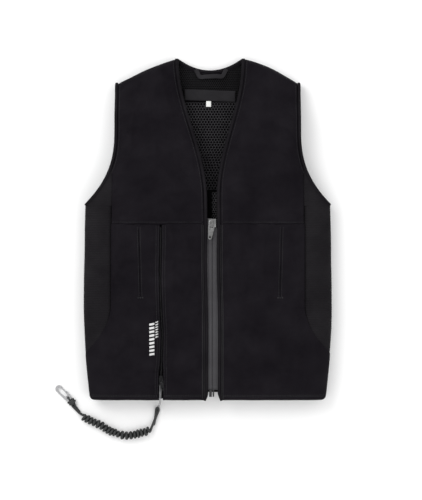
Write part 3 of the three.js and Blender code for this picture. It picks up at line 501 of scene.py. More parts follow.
def make_materials():
    looks = {
        "shell": cloth_material("softshell_black", (0.0034, 0.0024, 0.0042), (0.0058, 0.0044, 0.0069),
                                (1100, 900),
                                0.00008, turn=0.78, sheen=0.0, specular=0.12),
        "ribs": cloth_material("rib_knit_black", (0.0056, 0.0047, 0.0061), (0.0098, 0.0086, 0.0104),
                               (700, 330),
                               0.00016, sheen=0.0, specular=0.15),
        "mesh": cloth_material("spacer_mesh_charcoal", (0.024, 0.0225, 0.0255), (0.040, 0.038, 0.042),
                               (1500, 1500),
                               0.00006, turn=0.5, sheen=0.0),
        # The neck's mesh is the spacer mesh made darker: painted shade for the shadow that falls in the
        # neck.
        "neck_mesh": cloth_material("neck_mesh_painted_shade", (0.009, 0.0085, 0.0095), (0.016, 0.0155, 0.017),
                                    (1500, 1500),
                                    0.00006, turn=0.5, sheen=0.0, specular=0.15),
        # The waist's mesh is the spacer mesh made much lighter: painted light against the shade it lies in,
        # low in the opening.
        "waist_mesh": cloth_material("waist_mesh_painted_light", (0.075, 0.073, 0.078), (0.11, 0.107, 0.114),
                                     (1500, 1500), 0.00006, turn=0.5, sheen=0.0),
        "mesh_base": cloth_material("spacer_mesh_base", (0.0012, 0.0010, 0.0014), (0.0026, 0.0023, 0.0029),
                                    (800, 800), 0.0001, sheen=0.0, specular=0.06),
        "lining": cloth_material("lining_black", (0.008, 0.008, 0.0085), (0.014, 0.014, 0.0145),
                                 (420, 420), 0.0002,
                                 sheen=0.0, specular=0.15),
        "airbag": cloth_material("airbag_nylon", (0.06, 0.065, 0.072), (0.085, 0.09, 0.098), (1800, 1800),
                                 0.00005, specular=0.5),
        "binding": cloth_material("binding_tape_black", (0.0034, 0.0026, 0.0040), (0.0068, 0.0056, 0.0076),
                                  (500, 1300),
                                  0.0001, sheen=0.0, specular=0.15),
        # The welt cord is the shell cloth made lighter: painted highlight along the raised welts.
        "welt": cloth_material("welt_cord_painted_highlight", (0.014, 0.0135, 0.015), (0.024, 0.0235, 0.025),
                               (1300, 1300), 0.00005,
                               sheen=0.0, specular=0.2),
        "band": cloth_material("neck_band_grey", (0.0125, 0.0118, 0.0135), (0.0188, 0.0178, 0.0200),
                               (1000, 700), 0.0001,
                               sheen=0.0, specular=0.15),
        "label": cloth_material("label_satin", (0.72, 0.72, 0.7), (0.8, 0.8, 0.79), (2200, 900), 0.00003),
        "tape": cloth_material("zip_tape_grey", (0.043, 0.0415, 0.0455), (0.057, 0.0552, 0.060),
                               (620, 1500), 0.00018,
                               sheen=0.0),
        "thread": cloth_material("sewing_thread_black", (0.016, 0.016, 0.0175), (0.024, 0.024, 0.0255),
                                 (2500, 2500),
                                 0.00003, specular=0.4, sheen=0.0),
        "pocket": cloth_material("pocket_cloth", (0.010, 0.010, 0.011), (0.016, 0.016, 0.017), (900, 900),
                                 0.00008,
                                 sheen=0.0),
        "print": cloth_material("reflective_print", (0.62, 0.62, 0.62), (0.75, 0.75, 0.75), (1200, 1200),
                                0.00003),
        "teeth": plastic_material("zip_teeth_black", (0.012, 0.012, 0.013), 0.35),
        "moulded": plastic_material("moulded_plastic_black", (0.01, 0.01, 0.011), 0.5),
        "rubber": plastic_material("seal_rubber", (0.01, 0.01, 0.01), 0.8),
        "nickel": metal_material("slider_nickel", (0.26, 0.26, 0.26), (0.13, 0.13, 0.13), 0.22),
        "dark_metal": metal_material("slider_dark", (0.013, 0.013, 0.014), (0.03, 0.03, 0.031), 0.35),
        "steel": metal_material("hook_steel", (0.55, 0.55, 0.56), (0.4, 0.4, 0.41), 0.16),
        "tool_steel": metal_material("trigger_steel", (0.42, 0.42, 0.43), (0.3, 0.3, 0.31), 0.3),
        "canister": metal_material("canister_zinc", (0.36, 0.37, 0.39), (0.26, 0.27, 0.28), 0.35,
                                   (1600.0, 30.0)),
        "cord": plastic_material("lanyard_sleeve", (0.013, 0.0145, 0.0145), 0.45, grain=2400.0),
    }
    return looks


LOOK = make_materials()


# ---- Release cable and lanyard: the free cords, with the points of the frame's routes ----

CABLE = 1.5
CABLE_STRAND_HALF = 1.1
CABLE_LOOP_HALF = 2.4
FERRULE_LOW_Y = span("cable_ferrule")[0].y
CANISTER_Z = (span("co2_canister")[0].z + span("co2_canister")[1].z) / 2
CABLE_ROUTE = [
    (-84, FERRULE_LOW_Y - CLEAR, CANISTER_Z),
    (-84, -235, 28),
    (-84, -255, 32),
    (-84.2, -270, 36),
    (-84.5, -283, 38.6),
    (-85, -296, 38.8),
    (-85.2, -309, 37.6),
    (-86.8, -315, 30),
    (-88.6, -318.5, 16),
    (-90.2, -321.5, 6),
    (-90.5, -323.2, 2.6),
]
CORD = 4.6
CORD_HEIGHT = CORD / 2 + 0.1
COIL_OUTER = 16
COIL_ROUTE = [
    (-98.1, -357.1), (-102.8, -360.9), (-108.5, -364.3), (-116.6, -367.6), (-129.4, -371), (-143.6, -372.8),
    (-157, -371.9), (-171.7, -367.4), (-181.8, -361.8), (-191, -356.2), (-209.5, -347.8), (-224.8, -338.2),
    (-232, -334.1),
]
VEST_END_ROUTE = [(-91.3, -327.2), (-92.6, -340), (-95, -352.6), (-96.7, -355.8)]
HOOK_END_ROUTE = [(-233.4, -333.2), (-237.5, -328.6), (-242, -322.4), (-245, -315.6)]
HOOK_BASE = Vector((-249.8, -308.5, 0))
HOOK_TURN = 2.37
COIL_TURNS = 21
TURN_POINTS = 16
TURN_LEAN = 1.9
LEG_OFFSET = 2.3


def make_release_cable():
    """Down one strand, round the lanyard's loop and back up the other."""
    spread = [mix(CABLE_STRAND_HALF, CABLE_LOOP_HALF, max(0, (i - 7) / 3)) for i in range(len(CABLE_ROUTE))]
    down = [Vector((x - s, y, z)) for (x, y, z), s in zip(CABLE_ROUTE, spread)]
    up = [Vector((x + s, y, z)) for (x, y, z), s in zip(CABLE_ROUTE, spread)]
    x, y, z = CABLE_ROUTE[-1]
    bend = [Vector((x + a * CABLE_LOOP_HALF, y - CABLE_LOOP_HALF * math.sqrt(1 - a * a), z - 0.3))
            for a in (-0.8, 0, 0.8)]
    line = smooth_line(down + bend + up[::-1], 2.0)
    cable = cord_curve("release_cable_line", line, CABLE, LOOK["tool_steel"])
    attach(cable, "lanyard")
    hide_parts("release_cable")
    line_length(line) * MM
    return line


def pair_side(route, side, offset, height):
    """One of two cords lying side by side along a route on the floor."""
    line = smooth_line([Vector((x, y, 0)) for x, y in route], 2.0)
    moved = []
    for i, point in enumerate(line):
        ahead = (line[min(i + 1, len(line) - 1)] - line[max(i - 1, 0)]).normalized()
        moved.append(point + Vector((-ahead.y, ahead.x, 0)) * side * offset + Vector((0, 0, height)))
    return moved


def coil_shape(share):
    """How the curly stretch varies along its length: (radius share, sideways drift)."""
    thin = math.exp(-((share - 0.46) / 0.035) ** 2)
    uneven = 0.06 * math.sin(share * 37) + 0.05 * math.sin(share * 61 + 1.3)
    return 1 - 0.22 * thin + uneven, math.sin(share * 23) * 0.5


def ease_bend(route, near, reach):
    """Take the sharp turn out of a line of points about one of them, less and less to either side."""
    for _ in range(80):
        for i in range(max(1, near - reach), min(len(route) - 1, near + reach)):
            share = 0.5 * (1 - ease(abs(i - near) / reach))
            route[i] = route[i] * (1 - share) + (route[i - 1] + route[i + 1]) * (share / 2)


def make_lanyard():
    """Doubled at both ends, curled between: one long cord and the second leg of each doubled end."""
    radius = (COIL_OUTER - CORD) / 2 - 0.2
    centre = smooth_line([Vector((x, y, 0)) for x, y in COIL_ROUTE], 1.0)
    count = len(centre)
    total = COIL_TURNS * TURN_POINTS
    helix = []
    for k in range(total + 1):
        share = k / total
        wide, drift = coil_shape(share)
        warp = share + 0.010 * math.sin(share * 17) * math.sin(share * math.pi)
        spot = clamp(warp) * (count - 1)
        i = min(int(spot), count - 2)
        point = centre[i].lerp(centre[i + 1], spot - i)
        ahead = (centre[i + 1] - centre[i]).normalized()
        across = Vector((-ahead.y, ahead.x, 0))
        angle = 2 * math.pi * COIL_TURNS * share - math.pi / 2
        ends = min(1.0, 0.5 + 7 * share, 0.5 + 7 * (1 - share))
        size = radius * min(1.06, wide) * ends
        height = CORD_HEIGHT + radius * (1 + math.sin(angle) * min(1.0, wide)) * ends
        lean = TURN_LEAN * math.cos(angle)
        helix.append(point + across * (math.cos(angle) * size + drift) + ahead * lean
                     + Vector((0, 0, max(CORD_HEIGHT, height))))
    start = pair_side(VEST_END_ROUTE, 1, LEG_OFFSET, CORD_HEIGHT)
    finish = pair_side(HOOK_END_ROUTE, 1, LEG_OFFSET, CORD_HEIGHT)
    head, tail = start[:-2:3], finish[3::3]
    route = head + helix[6:-6] + tail
    for near in (len(head), len(route) - len(tail)):
        ease_bend(route, near, 20)
    line = smooth_line(route, 1.4)
    lanyard = cord_curve("lanyard_cord", line, CORD, LOOK["cord"])
    second = []
    for name, route in (("lanyard_vest_leg", VEST_END_ROUTE), ("lanyard_hook_leg", HOOK_END_ROUTE)):
        leg = pair_side(route, -1, LEG_OFFSET, CORD_HEIGHT)
        second.append(cord_curve(name, leg, CORD, LOOK["cord"]))
    return lanyard, line, second


# ---- Cloth surfaces ----

GRID = 3.0
WRAP_STEPS = 16
SHELL = 2.0
BACK_MIDDLE = BACK_TOP
SECTION_POWER = 2.5
RIB_PITCH = 3.1
RIB_HEIGHT = 0.45
SEAM_BEND_Y = -118
SEAM_OUT_Y = -221
RIB_TAIL = 14


def seam_x(y):
    """Where the ribbed side starts: straight down from the armhole, then out to the edge of the body."""
    share = clamp((SEAM_BEND_Y - y) / (SEAM_BEND_Y - SEAM_OUT_Y))
    return SIDE_SEAM + (side_half(SEAM_OUT_Y) - 1 - SIDE_SEAM) * share ** 2.4


def seam_share(y):
    """The same line as a share of the way round the side, front to back."""
    across = clamp((seam_x(y) - SIDE_SEAM) / (side_half(y) - SIDE_SEAM))
    return 0.5 * (1 - math.acos(across ** (SECTION_POWER / 2)) / (math.pi / 2)) if across else 0.0


def side_point(side, y, share, out=0.0):
    """A point round the side of the body: share 0 on the front, a half at the edge and 1 on the back."""
    angle = math.pi / 2 * (1 - 2 * share)
    half = FRONT_TOP / 2
    width = side_half(y) - SIDE_SEAM
    a, b = math.cos(angle), math.sin(angle)
    x = SIDE_SEAM + (width + out) * abs(a) ** (2 / SECTION_POWER)
    z = half + math.copysign((half + out) * abs(b) ** (2 / SECTION_POWER), b)
    return Vector((side * x, y, z))


def edge_sink(x, y):
    """Near the armhole the front falls towards the side, as the section below it does."""
    fade = 1 - ease((y - UNDERARM_Y) / FLAP_RISE)
    beyond = clamp((abs(x) - SIDE_SEAM) / (UNDERARM_HALF + 2 - SIDE_SEAM))
    if y < UNDERARM_Y or not beyond or not fade:
        return 0.0
    return FRONT_TOP / 2 * (1 - (1 - beyond ** SECTION_POWER) ** (1 / SECTION_POWER)) * fade


def front_top(x, y):
    return FRONT_TOP - front_drop(y) - edge_sink(x, y)


def sway(x, y, seed):
    """Slow swells and shallow creases of cloth that lies loose over soft layers."""
    swell = noise.noise(Vector((x / 75, y / 110, seed))) * 1.5
    crease = 1 - abs(noise.noise(Vector((x / 46 + y / 160, y / 120 - x / 190, seed + 7))))
    fine = noise.noise(Vector((x / 17, y / 26, seed + 3))) * 0.3
    return swell + 2.0 * crease ** 6 + fine


def pucker(along, away, reach=9.0, height=0.55):
    """Small gathers beside a seam."""
    fall = math.exp(-away / reach)
    wave = math.sin(along * 0.62 + 2.4 * math.sin(along * 0.11)) + math.sin(along * 0.37 + 1.7)
    return height * 0.5 * wave * fall


def panel_rows(turn_low, turn_top, length):
    """Rows of a panel as (edge it is measured from, distance or share, sink)."""
    rows = []
    steps = 5
    for k in range(steps if turn_low else 0):
        b = math.pi / 2 * k / steps
        rows.append(("low", turn_low[0] * (1 - math.cos(b)), turn_low[1] * (1 - math.sin(b))))
    count = max(2, round(length / GRID))
    rows += [("share", k / count, 0.0) for k in range(count + 1)]
    for k in range(steps - 1, -1, -1) if turn_top else ():
        b = math.pi / 2 * k / steps
        rows.append(("top", turn_top[0] * (1 - math.cos(b)), turn_top[1] * (1 - math.sin(b))))
    return rows


def panel_sheet(inner, outer, low, top, height, relief, turn_low=None, turn_top=None, wrap=None,
                drape=None):
    """A grid of cloth between two side edges and two ends, as rows of points in millimetres.

    inner and outer give x for a y, top gives y for an x, height gives z, and relief what is added to it.
    wrap carries the outer edge on round the side of the body, as far as the side seam.
    """
    middle = (inner(mix(low, top(inner(low)), 0.4)) + outer(mix(low, top(inner(low)), 0.4))) / 2
    length = top(middle) - low
    rows = panel_rows(turn_low, turn_top, length)
    low_start = turn_low[0] if turn_low else 0
    top_start = turn_top[0] if turn_top else 0
    columns = max(6, round(abs(outer(low + 0.3 * length) - inner(low + 0.3 * length)) / GRID))
    wraps = WRAP_STEPS if wrap else 0
    grid = []
    for edge, amount, sink in rows:
        line = []
        for i in range(columns + 1 + wraps):
            u = min(1.0, i / columns)
            y = low + amount if edge == "low" else mix(low + low_start, top(middle) - top_start, amount)
            for _ in range(2):
                x = mix(inner(y), outer(y), u)
                if edge == "low":
                    y = low + amount
                elif edge == "top":
                    y = top(x) - amount
                else:
                    y = mix(low + low_start, top(x) - top_start, amount)
            sway_now = relief(x, y, u)
            if i <= columns:
                line.append(Vector((x, y, height(x, y) + sway_now * (1 - min(1, sink / 4)) - sink)))
            else:
                past = (i - columns) / wraps
                if y > UNDERARM_Y:
                    line.append(line[columns] + Vector((wrap * 0.2 * past, 0, 0)))
                    continue
                point = side_point(wrap, y, max(0.004, seam_share(y)) * past, -0.1)
                point.z -= abs(sink) * max(0.0, (point.z - FRONT_TOP / 2) / (FRONT_TOP / 2))
                line.append(point)
        grid.append(line)
    if drape is not None:
        add_drape(grid, drape, columns)
    return grid


def draped_offsets(width, length, seed, pressure=0.35, growth=0.02):
    """Cloth pinned along its seams, a little larger than its place: how its middle settles."""
    columns, rows = 26, max(12, round(26 * length / width))
    points = [Vector((width * i / (columns - 1), length * j / (rows - 1), 0)) for j in range(rows)
              for i in range(columns)]
    for point in points:
        point.z = 0.8 * noise.noise(Vector((point.x / 40, point.y / 60, seed)))
    sheet = mesh_object("draping_" + str(seed), points, grid_faces(columns, rows))
    held = sheet.vertex_groups.new(name="held")
    border = [j * columns + i for j in range(rows) for i in range(columns)
              if i in (0, columns - 1) or j in (0, rows - 1)]
    held.add(border, 1.0, "REPLACE")
    cloth = sheet.modifiers.new("Cloth", "CLOTH")
    settings = cloth.settings
    settings.quality = 6
    settings.mass = 0.3
    settings.tension_stiffness = 12
    settings.compression_stiffness = 12
    settings.shear_stiffness = 6
    settings.bending_stiffness = 1.2
    settings.vertex_group_mass = "held"
    settings.shrink_min = -growth
    settings.use_pressure = True
    settings.uniform_pressure_force = pressure
    settings.effector_weights.gravity = 0
    cloth.collision_settings.use_collision = False
    cloth.point_cache.frame_start = 1
    cloth.point_cache.frame_end = 20
    for step in range(1, 21):
        bpy.context.scene.frame_set(step)
    graph = bpy.context.evaluated_depsgraph_get()
    moved = sheet.evaluated_get(graph).data.vertices
    heights = np.array([vertex.co.z / MM for vertex in moved]).reshape(rows, columns)
    bpy.context.scene.frame_set(1)
    bpy.data.objects.remove(sheet)
    return np.clip(heights, -2.0, 6.0)


def add_drape(grid, offsets, columns):
    """Raise the rows of points by what the cloth settled to, spread over the same panel."""
    rows, across = offsets.shape
    for j, line in enumerate(grid):
        v = j / (len(grid) - 1) * (rows - 1)
        j0 = min(int(v), rows - 2)
        for i, point in enumerate(line[:columns + 1]):
            u = i / columns * (across - 1)
            i0 = min(int(u), across - 2)
            block = offsets[j0:j0 + 2, i0:i0 + 2]
            upper = mix(block[0, 0], block[0, 1], u - i0)
            lower = mix(block[1, 0], block[1, 1], u - i0)
            point.z += float(mix(upper, lower, v - j0))


def thicken(piece, thick):
    """Give a sheet a thickness that grows inwards from its outer face."""
    solid = piece.modifiers.new("Thickness", "SOLIDIFY")
    solid.thickness = thick * MM
    solid.offset = -1
    finished(piece)


def sheet_piece(name, grid, thick, material, up=True):
    """The rows of points as cloth with a thickness, growing inwards from the outer face."""
    columns = len(grid[0])
    points = [point for line in grid for point in line]
    row = len(grid) // 2
    corner = grid[row][1]
    facing = (grid[row][2] - corner).cross(grid[row + 1][1] - corner).z
    flip = (facing > 0) != up
    piece = mesh_object(name, points, grid_faces(columns, len(grid), flip=flip))
    piece.data.materials.append(material)
    thicken(piece, thick)
    return piece


def blend_over_fold(piece):
    """The piece's placement baked into its mesh."""
    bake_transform(piece)


def on_front(piece, side):
    """A piece of one front: the left one has its placement baked into its mesh, the right one is attached
    to the root.
    """
    if side > 0:
        blend_over_fold(piece)
    else:
        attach(piece, "root")

def from_edges(x, left, right, reach=14.0):
    """0 at either edge of a panel, rising to 1 a little way in."""
    return ease(min(abs(x - left), abs(right - x)) / reach)


# ---- Shell panels ----

BINDING_IN = BINDING + CLEAR
CHEST_LOW_Y = CHEST_SEAM_Y - 1.2
SHOULDER_TURN = (9, FRONT_TOP - FULL_DROP - BACK_MIDDLE - 0.3)
HEM_TURN = (4, FRONT_TOP - FRONT_LOW)
RIGHT_FRONT_X = span("right_lower_centre_panel")[1].x
LEFT_FRONT_X = span("left_lower_panel_front")[0].x
SLIT_LEFT, SLIT_RIGHT = SLIT_X - SLIT_HALF, SLIT_X + SLIT_HALF


def slit_line(y):
    """How far the canister zip's seam wanders from straight."""
    share = clamp((CHEST_SEAM_Y - y) / 110)
    swing = 1.2 * math.sin((y + 20) / 34) * share
    return swing + 1.4 * ease((-150 - y) / 40)


def slit_half(y):
    """The lips nearly meet over the zip, and part for the slider and the cable."""
    return mix(SLIT_HALF, 1.7, ease((y - HEM_Y - 48) / 26))


def inner_edge(side):
    def edge(y):
        return front_edge(side, y) + side * BINDING_IN
    return edge


def chest_outer(side):
    def edge(y):
        return side * min(SIDE_SEAM, arm_half(y) - BINDING_IN)
    return edge


def chest_relief(side):
    def relief(x, y, u):
        inside = ease(u * 9) * ease((1 - u) * 7)
        crown = 2.4 * inside * ease((shoulder_y(x) - y) / 60)
        loose = sway(x, y, 11 + side) * (0.25 + 0.75 * inside) * ease((y - CHEST_SEAM_Y) / 14)
        seam = pucker(x, y - CHEST_SEAM_Y) - 0.3 * math.exp(-(y - CHEST_SEAM_Y) / 2.2)
        roll = 1.2 * math.exp(-((u - 0.13) / 0.05) ** 2) * ease((y - 60) / 60) * ease((250 - y) / 60)
        return crown + loose + seam - roll
    return relief


def lower_relief(seed, left, right):
    """Relief of a lower panel whose side edges stand at two given places."""
    def relief(x, y, u):
        start, end = (left(y), right(y))
        inside = from_edges(x, start, end)
        crown = 1.6 * inside * ease((y - HEM_Y) / 26)
        loose = sway(x, y, seed) * (0.2 + 0.8 * inside) * ease((y - HEM_Y) / 18)
        top = pucker(x, CHEST_SEAM_Y - y) - 0.2 * math.exp(-(CHEST_SEAM_Y - y) / 2.4)
        hem = -0.7 * math.exp(-((y - HEM_Y - 10) / 1.8) ** 2) + pucker(x, abs(y - HEM_Y - 10), 6, 0.4)
        return crown + loose + top + hem
    return relief


def slit_relief(base, side):
    """A raised lip beside the canister zip, gathered towards the hem."""
    def relief(x, y, u):
        away = abs(x - SLIT_X - slit_line(y)) - slit_half(y)
        below = ease((CHEST_SEAM_Y - y) / 8)
        lip = 1.1 * math.exp(-((away - 3) / 3.0) ** 2) - 1.0 * math.exp(-((away - 7.5) / 1.6) ** 2)
        gather = pucker(y * 1.3, away, 10, 1.5) * ease((-215 - y) / 40)
        ridge = 2.0 * math.exp(-((x + 63) / 4.2) ** 2) * ease((0 - y) / 12) * ease((y + 170) / 40)
        return base(x, y, u) + lip * below + gather + (ridge if side > 0 else 0)
    return relief


def front_wander(y):
    """The closed front edges drift a little to one side towards the hem."""
    return 1.7 * ease((-y - 60) / 200) + 0.5 * math.sin(y / 34) * ease(-y / 40)


def slit_lip(side):
    """One lip of the canister slit: side 1 is the lip towards the zip."""
    return lambda y: SLIT_X + side * slit_half(y) + slit_line(y)

def zip_side(start_x):
    """The inner edge of a lower panel, which drifts as the closed front does."""
    return lambda y: start_x + front_wander(y)

def make_shell():
    """The front's shell: each panel is a sheet of cloth between two edges, loose over what is below."""
    pieces = {}
    drape = draped_offsets(120, 280, 1)
    for side, word in SIDES:
        name = word + "_chest_cloth"
        grid = panel_sheet(inner_edge(side), chest_outer(side), CHEST_LOW_Y, shoulder_y, front_top,
                           chest_relief(side), turn_top=SHOULDER_TURN, drape=drape)
        pieces[name] = sheet_piece(name, grid, SHELL, LOOK["shell"])
    near, far = slit_lip(1), slit_lip(-1)
    zip_right, zip_left = zip_side(RIGHT_FRONT_X), zip_side(LEFT_FRONT_X)
    seam_right, seam_left = (lambda y: -SIDE_SEAM), (lambda y: SIDE_SEAM)
    lower = (
        ("right_centre_cloth", zip_right, near, slit_relief(lower_relief(21, near, zip_right), 1), None,
         draped_offsets(70, 310, 2, 0.2)),
        ("right_side_cloth", far, seam_right,
         pocketed(slit_relief(lower_relief(22, seam_right, far), -1), -1), -1,
         draped_offsets(90, 310, 3, 0.3)),
        ("left_lower_cloth", zip_left, seam_left, pocketed(lower_relief(23, zip_left, seam_left), 1), 1,
         draped_offsets(150, 310, 4, 0.3)),
    )
    for name, inner, outer, relief, wrap, drape in lower:
        grid = panel_sheet(inner, outer, HEM_Y, lambda x: CHEST_SEAM_Y + 0.3, front_top, relief,
                           turn_low=HEM_TURN, wrap=wrap, drape=drape)
        pieces[name] = sheet_piece(name, grid, SHELL, LOOK["shell"])
    stands_for = {
        "right_chest_cloth": ["right_chest_panel"],
        "left_chest_cloth": ["left_chest_panel_side", "left_chest_panel_front"],
        "right_centre_cloth": ["right_lower_centre_panel"],
        "right_side_cloth": ["right_lower_side_panel"],
        "left_lower_cloth": ["left_lower_panel_side", "left_lower_panel_front"],
    }
    for name, piece in pieces.items():
        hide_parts(*stands_for[name])
        on_front(piece, 1 if name.startswith("left") else -1)


POCKET_TOP_Y = CHEST_SEAM_Y - 7
POCKET_LENGTH = 124


def pocket_x(side, y):
    """The hand pocket's slit leans outwards as it goes up."""
    base = -120 if side < 0 else 129
    return base + side * 3 * clamp((y - POCKET_TOP_Y + POCKET_LENGTH) / POCKET_LENGTH)


def pocketed(base, side):
    """A shallow welt along the hand pocket's slit."""
    def relief(x, y, u):
        within = ease((POCKET_TOP_Y + 6 - y) / 6) * ease((y - POCKET_TOP_Y + POCKET_LENGTH + 6) / 6)
        away = x - pocket_x(side, y)
        groove = -1.3 * math.exp(-(away / 1.7) ** 2) + 0.6 * math.exp(-((abs(away) - 5) / 3) ** 2)
        return base(x, y, u) + groove * within
    return relief


def lift_back_hem(grid):
    """The back is cut a little shorter in the middle of the hem."""
    for line in grid:
        for point in line:
            middle = 1 - ease((abs(point.x - ZIP_X) - 20) / 90)
            point.y += 13 * middle * (1 - ease((point.y - HEM_Y) / 60))


def make_back_shell():
    """The back lies flat on the floor, its hem and shoulders turned up to meet the front."""
    def inner(y):
        return 0.0

    def height(x, y):
        return edge_sink(x, y)

    def flat(x, y, u):
        return 0.0
    halves = []
    for side in (-1, 1):
        outer = lambda y, side=side: side * min(SIDE_SEAM, arm_half(y) - BINDING_IN)
        top = lambda x: back_top_y(x) - (BINDING_IN if abs(x - NECK_SHIFT) < NECK_HALF - 1 else 0)
        grid = panel_sheet(inner, outer, HEM_Y, top, height, flat,
                           turn_low=(4, -BACK_TOP), turn_top=(5, -BACK_MIDDLE), wrap=side)
        for line in grid:
            for i, point in enumerate(line):
                if i > len(line) - 1 - WRAP_STEPS and point.y < UNDERARM_Y:
                    point.z = FRONT_TOP - point.z
        lift_back_hem(grid)
        halves.append(sheet_piece("back_half_" + str(side), grid, SHELL, LOOK["shell"], up=False))
    back = joined("back_shell_cloth", halves)
    outward(back)
    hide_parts("back_shell", "hem_side_wrap_right", "hem_side_wrap_left")
    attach(back, "root")


# ---- Ribbed sides ----


def make_ribbed_side(side, word):
    """Fine ribs run round the side and up to the armhole, front and back."""
    step = RIB_PITCH / 4
    rows = []
    count = round((UNDERARM_Y - SEAM_OUT_Y + RIB_TAIL) / step)
    for j in range(count + 1):
        y = SEAM_OUT_Y - RIB_TAIL + j * step
        rib = RIB_HEIGHT * math.sin(2 * math.pi * y / RIB_PITCH) - 1.0
        line = []
        for i in range(29):
            share = i / 28
            soft = noise.noise(Vector((share * 3, y / 60, side * 5))) * math.sin(share * math.pi)
            soft *= ease((UNDERARM_Y - y) / 30)
            dark = -1.6 * math.exp(-(min(share, 1 - share) / 0.05) ** 2)
            line.append(side_point(side, y, share, rib + soft + dark))
        rows.append(line)
    flaps = []
    for front in (True, False):
        flap = []
        count = round(FLAP_RISE / step)
        for j in range(count):
            y = UNDERARM_Y - 1.5 + j * step
            rib = RIB_HEIGHT * math.sin(2 * math.pi * y / RIB_PITCH)
            line = []
            for i in range(15):
                x = mix(SIDE_SEAM - 1, max(SIDE_SEAM + 0.5, arm_half(y) - BINDING / 2), i / 14)
                sink = edge_sink(x, max(y, UNDERARM_Y))
                z = front_top(x, max(y, UNDERARM_Y)) - 0.95 + rib if front else sink + 0.95 - rib
                line.append(Vector((side * x, y, z)))
            flap.append(line)
        flaps.append(flap)
    parts = [sheet_piece("side_" + word, rows, 1.5, LOOK["ribs"]),
             sheet_piece("side_front_" + word, flaps[0], 1.5, LOOK["ribs"]),
             sheet_piece("side_back_" + word, flaps[1], 1.5, LOOK["ribs"], up=False)]
    ribs = joined("ribbed_side_" + word, parts)
    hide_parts("side_panel_" + word)
    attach(ribs, "root")


# ---- Stitches, cords, zip teeth and mesh, by Geometry Nodes ----


def made_tree(name, inputs):
    """A geometry tree with named inputs.

    It gives back the input sockets, a function that adds nodes and one that ends the tree.
    """
    tree, source, result = node_group(
        name, "GeometryNodeTree",
        [("Geometry", "NodeSocketGeometry", None)] + inputs + [("Material", "NodeSocketMaterial", None)],
        [("Geometry", "NodeSocketGeometry")])

    def add(kind, links=(), **settings):
        node = tree.nodes.new(kind)
        for key, value in settings.items():
            setattr(node, key, value)
        for label, value in links:
            if hasattr(value, "is_output"):
                tree.links.new(value, node.inputs[label])
            else:
                node.inputs[label].default_value = value
        return node

    def end(geometry):
        real = add("GeometryNodeRealizeInstances", [("Geometry", geometry)])
        dressed = add("GeometryNodeSetMaterial", [("Geometry", real.outputs[0]),
                                                  ("Material", source.outputs["Material"])])
        tree.links.new(dressed.outputs[0], result.inputs["Geometry"])
        return tree

    return source.outputs, add, end

def points_along(given, add):
    """Points a pitch apart along the tree's curve."""
    even = add("GeometryNodeResampleCurve", [("Curve", given["Geometry"]), ("Length", given["Pitch"])],
               mode="LENGTH")
    return add("GeometryNodeCurveToPoints", [("Curve", even.outputs[0])], mode="EVALUATED")


def make_stitch_tree():
    """Short rounded threads laid end to end along every line of a curve."""
    given, add, end = made_tree("stitch_rows", [
        ("Pitch", "NodeSocketFloat", 0.003), ("Thread Length", "NodeSocketFloat", 0.0022),
        ("Thread Width", "NodeSocketFloat", 0.0006)])
    points = points_along(given, add)
    thread = add("GeometryNodeMeshUVSphere", [("Segments", 6), ("Rings", 4), ("Radius", 0.5)])
    size = add("ShaderNodeCombineXYZ", [("X", given["Thread Width"]), ("Y", given["Thread Width"]),
                                        ("Z", given["Thread Length"])])
    stitches = add("GeometryNodeInstanceOnPoints", [
        ("Points", points.outputs["Points"]), ("Instance", thread.outputs["Mesh"]),
        ("Rotation", points.outputs["Rotation"]), ("Scale", size.outputs[0])])
    return end(stitches.outputs[0])


def make_cord_tree():
    """A soft tube along every line of a curve."""
    given, add, end = made_tree("cord_line", [
        ("Radius", "NodeSocketFloat", 0.0005), ("Sides", "NodeSocketInt", 6)])
    ring = add("GeometryNodeCurvePrimitiveCircle",
               [("Resolution", given["Sides"]), ("Radius", given["Radius"])])
    tube = add("GeometryNodeCurveToMesh", [("Curve", given["Geometry"]), ("Profile Curve", ring.outputs[0]),
                                           ("Fill Caps", True)])
    return end(tube.outputs[0])


def make_coil_tree():
    """Zip teeth: small loops of monofilament set at an even pitch along a line, facing its middle."""
    given, add, end = made_tree("zip_teeth", [
        ("Pitch", "NodeSocketFloat", 0.0015), ("Wire", "NodeSocketFloat", 0.0004),
        ("Width", "NodeSocketFloat", 0.003), ("Height", "NodeSocketFloat", 0.0018)])
    points = points_along(given, add)
    loop = add("GeometryNodeCurvePrimitiveCircle", [("Resolution", 8), ("Radius", 0.5)])
    size = add("ShaderNodeCombineXYZ", [("X", given["Width"]), ("Y", given["Height"]), ("Z", 1.0)])
    shaped = add("GeometryNodeTransform", [("Geometry", loop.outputs[0]), ("Scale", size.outputs[0])])
    wire = add("GeometryNodeCurvePrimitiveCircle", [("Resolution", 5), ("Radius", given["Wire"])])
    tooth = add("GeometryNodeCurveToMesh",
                [("Curve", shaped.outputs[0]), ("Profile Curve", wire.outputs[0])])
    teeth = add("GeometryNodeInstanceOnPoints", [
        ("Points", points.outputs["Points"]), ("Instance", tooth.outputs[0]),
        ("Rotation", points.outputs["Rotation"])])
    return end(teeth.outputs[0])


def make_mesh_tree():
    """Knitted mesh: six-sided rings of thread set side by side on a lattice of points, holes left open."""
    given, add, end = made_tree("knitted_mesh", [
        ("Ring Radius", "NodeSocketFloat", 0.0028), ("Thread Radius", "NodeSocketFloat", 0.0005)])
    ring = add("GeometryNodeCurvePrimitiveCircle", [("Resolution", 6), ("Radius", given["Ring Radius"])])
    section = add("GeometryNodeCurvePrimitiveCircle",
                  [("Resolution", 4), ("Radius", given["Thread Radius"])])
    cell = add("GeometryNodeCurveToMesh",
               [("Curve", ring.outputs[0]), ("Profile Curve", section.outputs[0])])
    cells = add("GeometryNodeInstanceOnPoints",
                [("Points", given["Geometry"]), ("Instance", cell.outputs[0])])
    return end(cells.outputs[0])


STITCH_TREE = make_stitch_tree()
CORD_TREE = make_cord_tree()
COIL_TREE = make_coil_tree()
MESH_TREE = make_mesh_tree()


